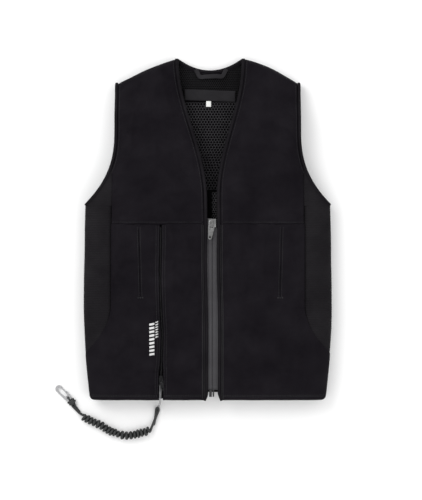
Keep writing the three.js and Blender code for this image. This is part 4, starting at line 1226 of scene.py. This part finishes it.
def grown(name, source, tree, material, slot, **values):
    """A tree run on a piece with its inputs set, turned into a plain mesh."""
    modifier = source.modifiers.new("Grown", "NODES")
    modifier.node_group = tree
    sockets = {item.name: item.identifier for item in tree.interface.items_tree if item.in_out == "INPUT"}
    modifier[sockets["Material"]] = material
    for label, value in values.items():
        modifier[sockets[label.replace("_", " ")]] = value
    graph = bpy.context.evaluated_depsgraph_get()
    data = bpy.data.meshes.new_from_object(source.evaluated_get(graph), depsgraph=graph)
    bpy.data.objects.remove(source)
    data.name = name
    piece = new_object(name, data)
    piece.data.polygons.foreach_set("use_smooth", [True] * len(piece.data.polygons))
    return piece


def line_object(name, lines):
    """Several lines of points as one curve object."""
    data = bpy.data.curves.new(name, "CURVE")
    data.dimensions = "3D"
    for line in lines:
        spline = data.splines.new("POLY")
        spline.points.add(len(line) - 1)
        for target, point in zip(spline.points, line):
            target.co = (*(Vector(point) * MM), 1)
    return new_object(name, data)


def on_cloth(piece_names, path, above=0.15):
    """The points of a path, dropped onto the named cloths where they lie, joined into lines."""
    trees = []
    for name in piece_names:
        work = bmesh.new()
        work.from_mesh(bpy.data.objects[name].data)
        trees.append(BVHTree.FromBMesh(work))
        work.free()
    lines = [[]]
    for x, y in path:
        hits = [tree.ray_cast(Vector((x, y, 80)) * MM, Vector((0, 0, -1)))[0] for tree in trees]
        hits = [hit for hit in hits if hit and hit.z / MM > FRONT_TOP / 3]
        if hits:
            lines[-1].append(max(hits, key=lambda hit: hit.z) / MM + Vector((0, 0, above)))
        elif lines[-1]:
            lines.append([])
    return [line for line in lines if len(line) > 2]


def straight(x0, y0, x1, y1, step=2.0):
    count = max(2, int(math.hypot(x1 - x0, y1 - y0) / step))
    return [(mix(x0, x1, i / count), mix(y0, y1, i / count)) for i in range(count + 1)]


def along_y(edge, low, high, step=2.0):
    count = max(2, int((high - low) / step))
    return [(edge(mix(low, high, i / count)), mix(low, high, i / count)) for i in range(count + 1)]


def hem_paths(side, front_x):
    """Two rows of stitches above the hem, stopping either side of the canister slit."""
    rows = []
    for gap, end in ((10, 207), (7.6, 206)):
        y = HEM_Y + gap
        if side < 0:
            rows += [straight(front_x - 6, y, SLIT_RIGHT + 4, y), straight(SLIT_LEFT - 4, y, -end, y)]
        else:
            rows.append(straight(front_x + 6, y, end, y))
    return rows

def seam_paths(side, front_x):
    """Stitches along the chest seam, the front edge above and below it, and the armhole."""
    chest = CHEST_SEAM_Y + 3
    return [straight(front_x + side * 4, chest, side * (SIDE_SEAM - 1), chest),
            along_y(lambda y: front_edge(side, y) + side * (BINDING + 3.2), CHEST_SEAM_Y + 6, NECK_Y - 7),
            along_y(lambda y: front_x + side * 3, HEM_Y + 6, CHEST_SEAM_Y),
            along_y(lambda y: side * (arm_half(y) - BINDING - 3), UNDERARM_Y + 50, TIP_Y - 3)]

def pocket_paths(side):
    """A row either side of the hand pocket's slit, and a bar tack at its foot."""
    low = POCKET_TOP_Y - POCKET_LENGTH
    foot = pocket_x(side, low)
    rows = [along_y(lambda y, a=away: pocket_x(side, y) + a, low, POCKET_TOP_Y) for away in (-2.6, 2.6)]
    return rows + [straight(foot - 4, low - j * 0.6, foot + 4, low - j * 0.6, 1.0) for j in range(4)]

def slit_paths():
    """Two rows either side of the canister slit."""
    return [along_y(lambda y, s=side, a=away: SLIT_X + s * (slit_half(y) + a) + slit_line(y),
                    HEM_Y + 14, CHEST_SEAM_Y - 4) for away in (2.2, 6.5) for side in (-1, 1)]

def make_stitching():
    """Topstitching on the shell, one piece for each front."""
    for side, name, front_x, cloths, more in (
            (-1, "right_topstitching", RIGHT_FRONT_X,
             ["right_chest_cloth", "right_centre_cloth", "right_side_cloth"], slit_paths()),
            (1, "left_topstitching", LEFT_FRONT_X, ["left_chest_cloth", "left_lower_cloth"], [])):
        paths = hem_paths(side, front_x) + seam_paths(side, front_x) + more + pocket_paths(side)
        lines = [line for path in paths for line in on_cloth(cloths, path)]
        stitches = grown(name, line_object(name, lines), STITCH_TREE, LOOK["thread"], "shell",
                         Pitch=0.0030, Thread_Length=0.0025, Thread_Width=0.00075)
        on_front(stitches, side)


def make_welts():
    """Thin corded welts on the fronts, beside the zip, in a cord lighter than the shell: painted highlight
    along their ridges.
    """
    for side, cloth, name, start in ((-1, "right_centre_cloth", "right_front_welts", RIGHT_FRONT_X),
                                     (1, "left_lower_cloth", "left_front_welts", LEFT_FRONT_X)):
        paths = [along_y(lambda y, a=away: start + side * a + front_wander(y), HEM_Y + 3, CHEST_SEAM_Y - 2)
                 for away in (0.6, 3.4)]
        lines = [line for path in paths for line in on_cloth([cloth], path, 0.1)]
        welts = grown(name, line_object(name, lines), CORD_TREE, LOOK["welt"], "shell", Radius=0.00055)
        on_front(welts, side)


# ---- Bindings ----


def tape_round(name, line, width, height, up=Vector((0, 0, 1))):
    """A folded tape along an edge, soft at its corners, with its fold's slight unevenness."""
    points = smooth_line(line, 2.0)
    stations = []
    for i, (centre, across, above) in enumerate(path_stations(points, up)):
        lift = 0.25 * math.sin(i * 0.9) + 0.35 * noise.noise(centre / 9)
        stations.append((centre + above * lift, across, above))
    tape = swept(name, stations, rounded(width, height, 14, 3.2))
    tape.data.materials.append(LOOK["binding"])
    return tape


def make_edge_binding(side, word):
    """The folded tape down one front's edge, flaring a little at the hem."""
    middle = (FRONT_TOP + FRONT_LOW) / 2
    stands_for = {-1: ["right_edge_binding"], 1: ["left_edge_binding", "left_edge_binding_upper"]}
    count = 60
    line = []
    for i in range(count + 1):
        y = mix(HEM_Y + 0.6, NECK_Y - 1, i / count)
        spread = BINDING / 2 + 4.2 * ease((HEM_Y + 13 - y) / 13)
        x = front_edge(side, y) + side * spread + front_wander(y)
        line.append(Vector((x, y, middle + 0.8 - front_drop(y))))
    tape = tape_round(word + "_edge_binding_tape", line, BINDING + 0.3, FRONT_TOP - FRONT_LOW + 1.6)
    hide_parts(*stands_for[side])
    on_front(tape, side)

def make_armhole_binding(side, word):
    """Round one armhole: up the front edge, over the shoulder's end and down the back edge."""
    edge_height = FRONT_TOP - FRONT_LOW
    section = rounded(BINDING + 0.2, edge_height + 0.6, 14, 3.2)
    front, back = [], []
    for i in range(40):
        y = mix(UNDERARM_Y + 0.5, TIP_Y - 4, i / 39)
        x = side * (arm_half(y) - BINDING / 2)
        front.append(Vector((x, y, front_top(x, y) - edge_height / 2 + 0.5)))
        back.append(Vector((x, y, edge_sink(x, y) + BACK_TOP / 2)))
    middle = (front[-1] + back[-1]) / 2
    turn = (front[-1] - back[-1]).length / 2
    stations = path_stations(front)
    for k in range(1, 12):
        angle = math.pi / 2 - math.pi * k / 12
        out = Vector((0, math.cos(angle), math.sin(angle)))
        stations.append((middle + Vector((0, out.y * 3, out.z * turn)), Vector((1, 0, 0)), out))
    stations += path_stations(back[::-1])
    tape = swept(word + "_armhole_tape", stations, section)
    tape.data.materials.append(LOOK["binding"])
    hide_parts(word + "_armhole_binding")
    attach(tape, "root")

def make_neck_binding():
    """The tape across the back of the neck, with an upright end at each front edge."""
    neck = [Vector((x, back_neck_y(x) - BINDING / 2, BACK_TOP / 2 + 0.4))
            for x in np.linspace(NECK_SHIFT - NECK_HALF - 1, NECK_SHIFT + NECK_HALF + 1, 30)]
    parts = [tape_round("neck", neck, BINDING + 0.3, BACK_TOP + 1.0)]
    for side in (-1, 1):
        x = NECK_SHIFT + side * (NECK_HALF + BINDING / 2 - 0.6)
        upright = [Vector((x, NECK_Y - 3.4, z)) for z in np.linspace(0.6, FRONT_TOP - FULL_DROP - 1.5, 10)]
        parts.append(tape_round("neck_corner", upright, BINDING + 0.4, BINDING + 0.4, up=Vector((0, 1, 0))))
    tape = joined("back_neck_tape", parts)
    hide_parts("back_neck_binding")
    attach(tape, "root")


# ---- Linings and what lies in the neck ----

MESH_TOP = BACK_TOP
BAND_LOW, BAND_HIGH = span("back_band")
LOOP_LOW, LOOP_HIGH = span("hanger_loop")
LABEL_LOW, LABEL_HIGH = span("size_label")


def lining_swell(x, y):
    """The back lining is padded: it swells over the airbag and dips under the band."""
    pad = 1.2 * noise.noise(Vector((x / 42, y / 38, 4)))
    roll = 2.2 * math.exp(-((y - 100) / 16) ** 2) - 1.2 * math.exp(-((y - 128) / 8) ** 2)
    band = -0.8 * math.exp(-((y - (BAND_LOW.y + BAND_HIGH.y) / 2) / 9) ** 2)
    return pad + roll + band


def back_half_width(y):
    return min(SIDE_SEAM - 2, arm_half(y) - BINDING - 1)


def make_back_lining():
    def plain(x, y, u):
        return lining_swell(x, y) - 1.5

    def level(x, y):
        return MESH_TOP + edge_sink(x, y)
    parts = []
    for side in (-1, 1):
        top = lambda x: back_top_y(x) - BINDING
        grid = panel_sheet(lambda y: 0.0, lambda y, s=side: s * back_half_width(y), HEM_Y + 3, top, level,
                           plain)
        lift_back_hem(grid)
        parts.append(sheet_piece("lining_base_" + str(side), grid, 1.2, LOOK["mesh_base"]))
    base = outward(joined("back_lining_cloth", parts))
    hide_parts("back_lining_upper", "back_lining_lower")
    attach(base, "root")
    nets = []
    # The neck's net wears a darker copy of the mesh, painted shade, and the waist's net a lighter copy,
    # painted light.
    for name, look, low, high, pitch, start in (
            ("back_mesh", "mesh", LINING_SPLIT_Y, BAND_LOW.y + 1, 5.3, -200),
            ("neck_mesh", "neck_mesh", BAND_LOW.y + 4, NECK_Y - 8, 3.7, -200),
            ("waist_mesh", "waist_mesh", 4, LINING_SPLIT_Y - 3, 4.6, 9)):
        points = []
        rows = int((high - low) / (pitch * 0.866))
        for j in range(rows):
            y = low + j * pitch * 0.866
            wide = back_half_width(y)
            count = int(2 * wide / pitch)
            for i in range(count):
                x = -wide + (i + 0.5 + 0.5 * (j % 2)) * pitch
                if y < back_top_y(x) - BINDING and abs(x) < wide - 1 and x > start:
                    points.append((x, y, MESH_TOP + lining_swell(x, y) - 0.55))
        lattice = mesh_object(name, points, [], smooth=False)
        nets.append(grown(name, lattice, MESH_TREE, LOOK[look], "lining_mesh",
                          Ring_Radius=pitch * 0.56 * MM, Thread_Radius=pitch * 0.115 * MM))
    for net in nets:
        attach(net, "root")


def make_front_linings():
    """Linings under the fronts, held between the bindings."""
    def left_inner(y):
        return max(LEFT_FRONT_X if y < CHEST_SEAM_Y else 0, inner_edge(1)(y))

    def right_inner(y):
        return min(RIGHT_FRONT_X, inner_edge(-1)(y))

    def level(x, y):
        return FRONT_LOW + 3 - front_drop(y) - edge_sink(x, y)

    def puff(x, y, u):
        return -0.5 - 0.4 * math.sin(y / 9) ** 8

    for side, word, inner, nodes in (
            (-1, "right", right_inner, ["right_front_lining"]),
            (1, "left", left_inner, ["left_lining_side", "left_lining_front"])):
        grid = panel_sheet(inner, lambda y, s=side: s * back_half_width(y), HEM_Y + 4.5,
                           lambda x: shoulder_y(x) - 8, level, puff)
        lining = sheet_piece(word + "_front_lining_cloth", grid, 1.2, LOOK["lining"])
        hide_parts(*nodes)
        on_front(lining, side)


def make_neck_band():
    """A plain flat tape stitched across the back of the neck."""
    rows = []
    for j in range(9):
        y = mix(BAND_LOW.y, BAND_HIGH.y, j / 8)
        line = []
        for i in range(40):
            x = mix(BAND_LOW.x, BAND_HIGH.x, i / 39)
            wave = 0.5 * noise.noise(Vector((x / 14, y / 10, 8)))
            crown = 0.9 * (1 - (2 * j / 8 - 1) ** 2)
            tilt = (x - NECK_SHIFT) * -0.035
            line.append(Vector((x, y + tilt, BACK_TOP + 1.6 + crown + wave + lining_swell(x, y))))
        rows.append(line)
    band = sheet_piece("neck_band_tape", rows, 1.0, LOOK["band"])
    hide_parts("back_band")
    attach(band, "root")


def make_hanger_loop():
    """A narrow folded strap: its two ends sewn down slanting under the neck binding, its middle clear."""
    low, high = LOOP_LOW, LOOP_HIGH
    base = BACK_TOP + 0.9
    route = [Vector((low.x - 1, high.y + 8, base)), Vector((low.x + 2, high.y + 3, base + 0.6)),
             Vector((low.x + 7, (low.y + high.y) / 2 - 0.5, base + 3.5)),
             Vector((low.x + 18, low.y + 4.6, base + 5.6)), Vector((high.x - 18, low.y + 5.4, base + 5.6)),
             Vector((high.x - 7, (low.y + high.y) / 2 + 0.6, base + 3.5)),
             Vector((high.x - 2, high.y + 4, base + 0.6)), Vector((high.x + 1, high.y + 9, base))]
    points = smooth_line(route, 1.5)
    section = rounded(7.6, 1.5, 12, 3.5)
    strap = swept("hanger_loop_strap", path_stations(points), section)
    strap.data.materials.append(LOOK["band"])
    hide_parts("hanger_loop")
    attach(strap, "root")


def make_label():
    """A small folded size label, without print, hanging from the band."""
    rows = []
    for j in range(9):
        y = mix(LABEL_LOW.y, LABEL_HIGH.y + 1.2, j / 8)
        lift = BACK_TOP + 1.1 + 1.5 * (1 - j / 8) ** 1.5
        rows.append([Vector((mix(LABEL_LOW.x, LABEL_HIGH.x, i / 7), y,
                             lift + lining_swell(0,
                                                 y) + 0.4 * math.sin(i / 7 * math.pi))) for i in range(8)])
    label = sheet_piece("size_label_cloth", rows, 0.4, LOOK["label"])
    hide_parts("size_label")
    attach(label, "root")


# ---- Zips ----

TAPE_TOP = span("main_zip_right")[1].z


def tape_rows(near, far, low, top, height, ridges=6.0, droop=0.9):
    """Woven tape: fine ridges along it, its inner edge rolled down to the teeth."""
    rows = []
    count = max(2, round((top - low) / 5))
    for j in range(count + 1):
        y = mix(low, top, j / count)
        line = []
        for i in range(34):
            share = i / 33
            x = mix(near, far, share)
            ridge = 0.13 * math.cos(2 * math.pi * ridges * share)
            roll = -droop * max(0.0, 1 - share * 9) ** 2
            wave = 0.25 * noise.noise(Vector((x / 30, y / 34, 6)))
            line.append(Vector((x, y, height + ridge + roll + wave * math.sin(share * math.pi))))
        rows.append(line)
    return rows


def make_main_zip():
    """Each half of the main zip: its tape, its row of teeth and its line of stitches."""
    for side, node, body in ((-1, "main_zip_right", "root"), (1, "main_zip_left", "left_front")):
        low, high = span(node)
        rows = tape_rows(ZIP_X + side * 0.25, ZIP_X + side * 11.4, low.y, high.y, TAPE_TOP + 0.1)
        tape = sheet_piece(node + "_tape", rows, 0.6, LOOK["tape"])
        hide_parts(node)
        line = [Vector((ZIP_X + side * 1.6, y, TAPE_TOP - 1.9)) for y in np.arange(low.y, high.y, 4.0)]
        teeth = grown(node + "_teeth", line_object(node, [line]), COIL_TREE, LOOK["teeth"], "zip_tape",
                      Pitch=0.0016, Wire=0.00035, Width=0.0026, Height=0.0019)
        seam = [Vector((ZIP_X + side * 6.9, y, TAPE_TOP + 0.25)) for y in np.arange(low.y + 2, high.y - 1,
                                                                                    3.0)]
        stitches = grown(node + "_stitching", line_object(node, [seam]), STITCH_TREE, LOOK["thread"],
                         "zip_tape", Pitch=0.0028, Thread_Length=0.0021, Thread_Width=0.0006)
        for piece in (tape, teeth, stitches):
            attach(piece, body)


def bevelled_copy(node, name, width, material, body, segments=3):
    """A CAD piece with its edges rounded, on the same place."""
    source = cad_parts[node]
    data = source.data.copy()
    data.materials.clear()
    data.materials.append(LOOK[material])
    piece = new_object(name, data)
    work = bmesh.new()
    work.from_mesh(data)
    bmesh.ops.remove_doubles(work, verts=work.verts, dist=0.00001)
    bmesh.ops.dissolve_limit(work, angle_limit=math.radians(2), verts=work.verts, edges=work.edges)
    work.to_mesh(data)
    work.free()
    data.polygons.foreach_set("use_smooth", [True] * len(data.polygons))
    data.polygons.foreach_set("material_index", [0] * len(data.polygons))
    bevel = piece.modifiers.new("Rounded", "BEVEL")
    bevel.width = width * MM
    bevel.segments = segments
    bevel.limit_method = "ANGLE"
    bevel.angle_limit = math.radians(32)
    bevel.harden_normals = True
    finished(piece)
    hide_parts(node)
    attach(piece, body)
    return piece


def make_hardware():
    """Sliders, pulls, box and pin, the hook, and the parts of the canister and its trigger."""
    for node, name, width, material, slot, body in (
            ("main_zip_slider", "main_slider", 0.45, "nickel", "zip_metal", "zip_slider"),
            ("main_zip_pull", "main_slider_pull", 0.4, "nickel", "zip_metal", "zip_pull"),
            ("canister_zip_slider", "small_slider", 0.3, "dark_metal", "dark_zip_metal", "canister_slider"),
            ("canister_zip_pull", "small_slider_pull", 0.3, "dark_metal", "dark_zip_metal",
             "canister_pull"),
            ("main_zip_box", "zip_end_box", 0.5, "moulded", "zip_plastic", "root"),
            ("main_zip_pin", "zip_end_pin", 0.4, "moulded", "zip_plastic", "left_front"),
            ("snap_hook_body", "snap_hook", 1.15, "steel", "hook_steel", "lanyard"),
            ("snap_hook_gate", "snap_hook_gate_arm", 0.35, "steel", "hook_steel", "hook_gate"),
            ("snap_hook_rivet", "snap_hook_pin", 0.25, "tool_steel", "hook_steel", "lanyard"),
            ("co2_canister", "gas_canister", 0.4, "canister", "canister_metal", "canister"),
            ("canister_seal", "canister_ring", 0.3, "rubber", "seal_rubber", "root"),
            ("inflator_body", "inflator_housing", 0.8, "moulded", "inflator_plastic", "root"),
            ("inflator_end_cap", "inflator_cap", 0.5, "moulded", "inflator_plastic", "root"),
            ("gas_elbow", "gas_pipe", 0.3, "moulded", "inflator_plastic", "root"),
            ("striker", "striker_pin", 0.3, "tool_steel", "trigger_steel", "striker"),
            ("trigger_ball", "trigger_ball_end", 0.2, "tool_steel", "trigger_steel", "lanyard"),
            ("cable_ferrule", "crimped_ferrule", 0.5, "tool_steel", "trigger_steel", "lanyard")):
        bevelled_copy(node, name, width, material, body)


def make_canister_zip():
    """The closed zip in its slit, following the slit's slight wander."""
    low, high = span("canister_zip_chain")
    rows = []
    for y in np.arange(low.y, high.y + 2, 4.0):
        middle = SLIT_X + slit_line(y)
        rows.append([Vector((middle + a, y, FRONT_TOP - 1.5 - 0.25 * abs(a)))
                     for a in np.linspace(-3.6, 3.6, 12)])
    tape = sheet_piece("canister_zip_tape", rows, 0.6, LOOK["mesh_base"])
    line = [Vector((SLIT_X + slit_line(y), y, FRONT_TOP - 1.3)) for y in np.arange(low.y, high.y, 3.0)]
    teeth = grown("canister_zip_teeth", line_object("teeth", [line]), COIL_TREE, LOOK["teeth"],
                  "pocket_zip",
                  Pitch=0.0014, Wire=0.0003, Width=0.0024, Height=0.0011)
    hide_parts("canister_zip_chain")
    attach(tape, "root")
    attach(teeth, "root")


def make_pocket_zips():
    """Each hand pocket: a narrow dark zip sunk in its slit."""
    for side, word in SIDES:
        node = "hand_pocket_zip_" + word
        low, high = span(node)
        cloth = "right_side_cloth" if side < 0 else "left_lower_cloth"
        path = [(pocket_x(side, y), y) for y in np.arange(low.y + 1, high.y - 2, 2.5)]
        rows = []
        for point in on_cloth([cloth], path, 0.12)[0]:
            rows.append([point + Vector((a, 0, 0.1 * math.cos(a * 5) - 0.3 * abs(a))) for a in (-1, -0.5,
                                                                                                0, 0.5, 1)])
        zip_tape = sheet_piece(word + "_pocket_zip", rows, 0.5, LOOK["mesh_base"])
        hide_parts(node)
        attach(zip_tape, "root")


# ---- Inner soft pieces ----


def softened_copy(node, name, voxel, material, body, seams=0.0, smooth=10):
    """A soft solid's copy with its edges rounded off, and welded channels pressed in across it."""
    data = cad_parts[node].data.copy()
    data.materials.clear()
    data.materials.append(LOOK[material])
    piece = new_object(name, data)
    work = bmesh.new()
    work.from_mesh(data)
    bmesh.ops.remove_doubles(work, verts=work.verts, dist=0.00001)
    work.to_mesh(data)
    work.free()
    remesh = piece.modifiers.new("Remesh", "REMESH")
    remesh.mode = "VOXEL"
    remesh.voxel_size = voxel * MM
    remesh.use_smooth_shade = True
    relax = piece.modifiers.new("Relax", "SMOOTH")
    relax.factor = 0.5
    relax.iterations = smooth
    finished(piece)
    low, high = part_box(node)
    middle = (low.z + high.z) / 2
    for vertex in piece.data.vertices:
        here = vertex.co / MM
        press = 0.55 * seams * math.exp(-((here.y % 64 - 32) / 3.5) ** 2)
        crease = 1 - press + 0.06 * noise.noise(here / 22) - 0.05
        vertex.co.z = middle + (vertex.co.z - middle) * clamp(crease, 0.2, 1.0)
    piece.data.polygons.foreach_set("material_index", [0] * len(piece.data.polygons))
    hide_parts(node)
    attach(piece, body)
    return piece


def make_inner_soft():
    for node, body in (("back_airbag", "root"), ("right_front_airbag", "root"),
                       ("left_shoulder_airbag", "root"),
                       ("left_front_airbag", "left_front")):
        bag = softened_copy(node, node + "_bladder", 3.0, "airbag", body, seams=1.0,
                            smooth=5)
    for node in ("hand_pocket_bag_right", "hand_pocket_bag_left", "canister_pouch"):
        softened_copy(node, node + "_cloth", 1.2 if "bag" in node else 2.0, "pocket",
                      "root", smooth=3)


# ---- Knots and hitches on the lanyard ----


def make_lanyard_ends(line, second):
    """The knot at the hook, the hitch through the hook's eye, and the turn round the cable's loop."""
    material = LOOK["cord"]
    knot_middle = Vector((-246.4, -312.6, 5.4))
    along = Vector((math.cos(HOOK_TURN), math.sin(HOOK_TURN), 0))
    across = Vector((-along.y, along.x, 0))
    points = []
    for k in range(60):
        share = k / 59
        angle = share * 2 * math.pi * 3 + 0.6
        wide = 5.2 + 0.7 * math.sin(share * 9)
        points.append(knot_middle + along * mix(-3.4, 3.4, share) + across * math.cos(angle) * wide
                      + Vector((0, 0, math.sin(angle) * 3.0)))
    knot = cord_curve("lanyard_knot", points, 3.6, material)
    eye = HOOK_BASE + along * 4.7
    hitch = smooth_line([knot_middle + along * 1.5 + Vector((0, 0, 0.5)),
                         knot_middle + along * 5.5 + Vector((0, 0, 2)),
                         eye - along * 1.6 + Vector((0, 0, 6.3)), eye + Vector((0, 0, 2.4))], 0.8)
    loop = cord_curve("lanyard_hook_hitch", hitch, 3.0, material)
    start = line[0]
    other = second[0].data.splines[0].points[0].co.xyz / MM
    bend = []
    middle = (start + other) / 2
    reach = (other - start).length / 2
    side = (start - other).normalized()
    up = Vector((0.05, 1, 0)).normalized()
    for k in range(17):
        angle = math.pi * k / 16
        lift = Vector((0, 0, 3.1 * math.sin(angle)))
        bend.append(middle + side * math.cos(angle) * reach + up * math.sin(angle) * reach * 1.5 + lift)
    turn = cord_curve("lanyard_cable_hitch", bend, CORD, material)
    return [knot, loop, turn]


def make_cords():
    make_release_cable()
    lanyard, line, second = make_lanyard()
    ends = make_lanyard_ends(line, second)
    for piece in second + ends:
        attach(piece, "lanyard")
    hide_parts("lanyard_vest_end", "lanyard_coil", "lanyard_hook_end")
    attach(lanyard, "lanyard")
    line_length(line) * MM


# ---- A plain mark: two strips of slanting bars ----


def make_mark():
    work_points, work_faces = [], []
    hit_tree = bmesh.new()
    hit_tree.from_mesh(bpy.data.objects["right_side_cloth"].data)
    cloth = BVHTree.FromBMesh(hit_tree)
    hit_tree.free()
    strips = ((-99.5, -168, 9.0, 3.9, 6.7, 9), (-90.8, -165, 4.6, 2.2, 4.4, 7))
    for centre, top, wide, tall, pitch, count in strips:
        for k in range(count):
            start = len(work_points)
            for j in range(3):
                for i in range(5):
                    x = centre + wide * (i / 4 - 0.5)
                    y = top - k * pitch - tall * j / 2 + 1.6 * (i / 4 - 0.5)
                    hit = cloth.ray_cast(Vector((x, y, 80)) * MM, Vector((0, 0, -1)))[0]
                    work_points.append(Vector((x, y, (hit.z / MM if hit else FRONT_TOP) + 0.3)))
            work_faces += grid_faces(5, 3, start, flip=True)
    mark = mesh_object("reflective_bars", work_points, work_faces)
    mark.data.materials.append(LOOK["print"])
    thicken(mark, 0.25)
    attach(mark, "root")


# ---- Floor, light and world ----


FLOOR_HALF = 6000
FLOOR_Z = -0.4

def make_stage():
    """A wide white floor just under the vest, an even white world and two soft lamps."""
    corners = [(x * FLOOR_HALF, y * FLOOR_HALF, FLOOR_Z) for x, y in ((-1, -1), (1, -1), (1, 1), (-1, 1))]
    floor = mesh_object("floor", corners, [(0, 1, 2, 3)], smooth=False)
    floor.data.materials.append(plain_material("studio_floor", (0.95, 0.95, 0.95), 0.9, specular=0.1)[0])
    world = bpy.data.worlds.new("studio")
    world.use_nodes = True
    background = world.node_tree.nodes["Background"]
    background.inputs["Color"].default_value = (1, 1, 1, 1)
    background.inputs["Strength"].default_value = 0.92
    bpy.context.scene.world = world
    bpy.context.scene.view_settings.view_transform = "Standard"
    for name, place, size, power in (("key_light", (-1.5, 1.3, 1.9), 1.6, 30),
                                     ("fill_light", (1.7, -0.9, 2.0), 2.0, 12)):
        data = bpy.data.lights.new(name, "AREA")
        data.size = size
        data.energy = power
        light = new_object(name, data)
        light.location = place
        light.rotation_euler = Vector(place).to_track_quat("Z", "Y").to_euler()


# ---- Making the vest ----

make_camera()
make_cords()
make_shell()
make_back_shell()
for side, word in SIDES:
    make_ribbed_side(side, word)
make_back_lining()
make_front_linings()
make_neck_band()
make_hanger_loop()
make_label()
for side, word in SIDES:
    make_edge_binding(side, word)
    make_armhole_binding(side, word)
make_neck_binding()
make_main_zip()
make_canister_zip()
make_pocket_zips()
make_hardware()
make_inner_soft()
make_stitching()
make_welts()
make_mark()
for node in ("release_cable", "firing_spring"):
    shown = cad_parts[node]
    shown.data.materials.clear()
    shown.data.materials.append(LOOK["tool_steel"])
make_stage()
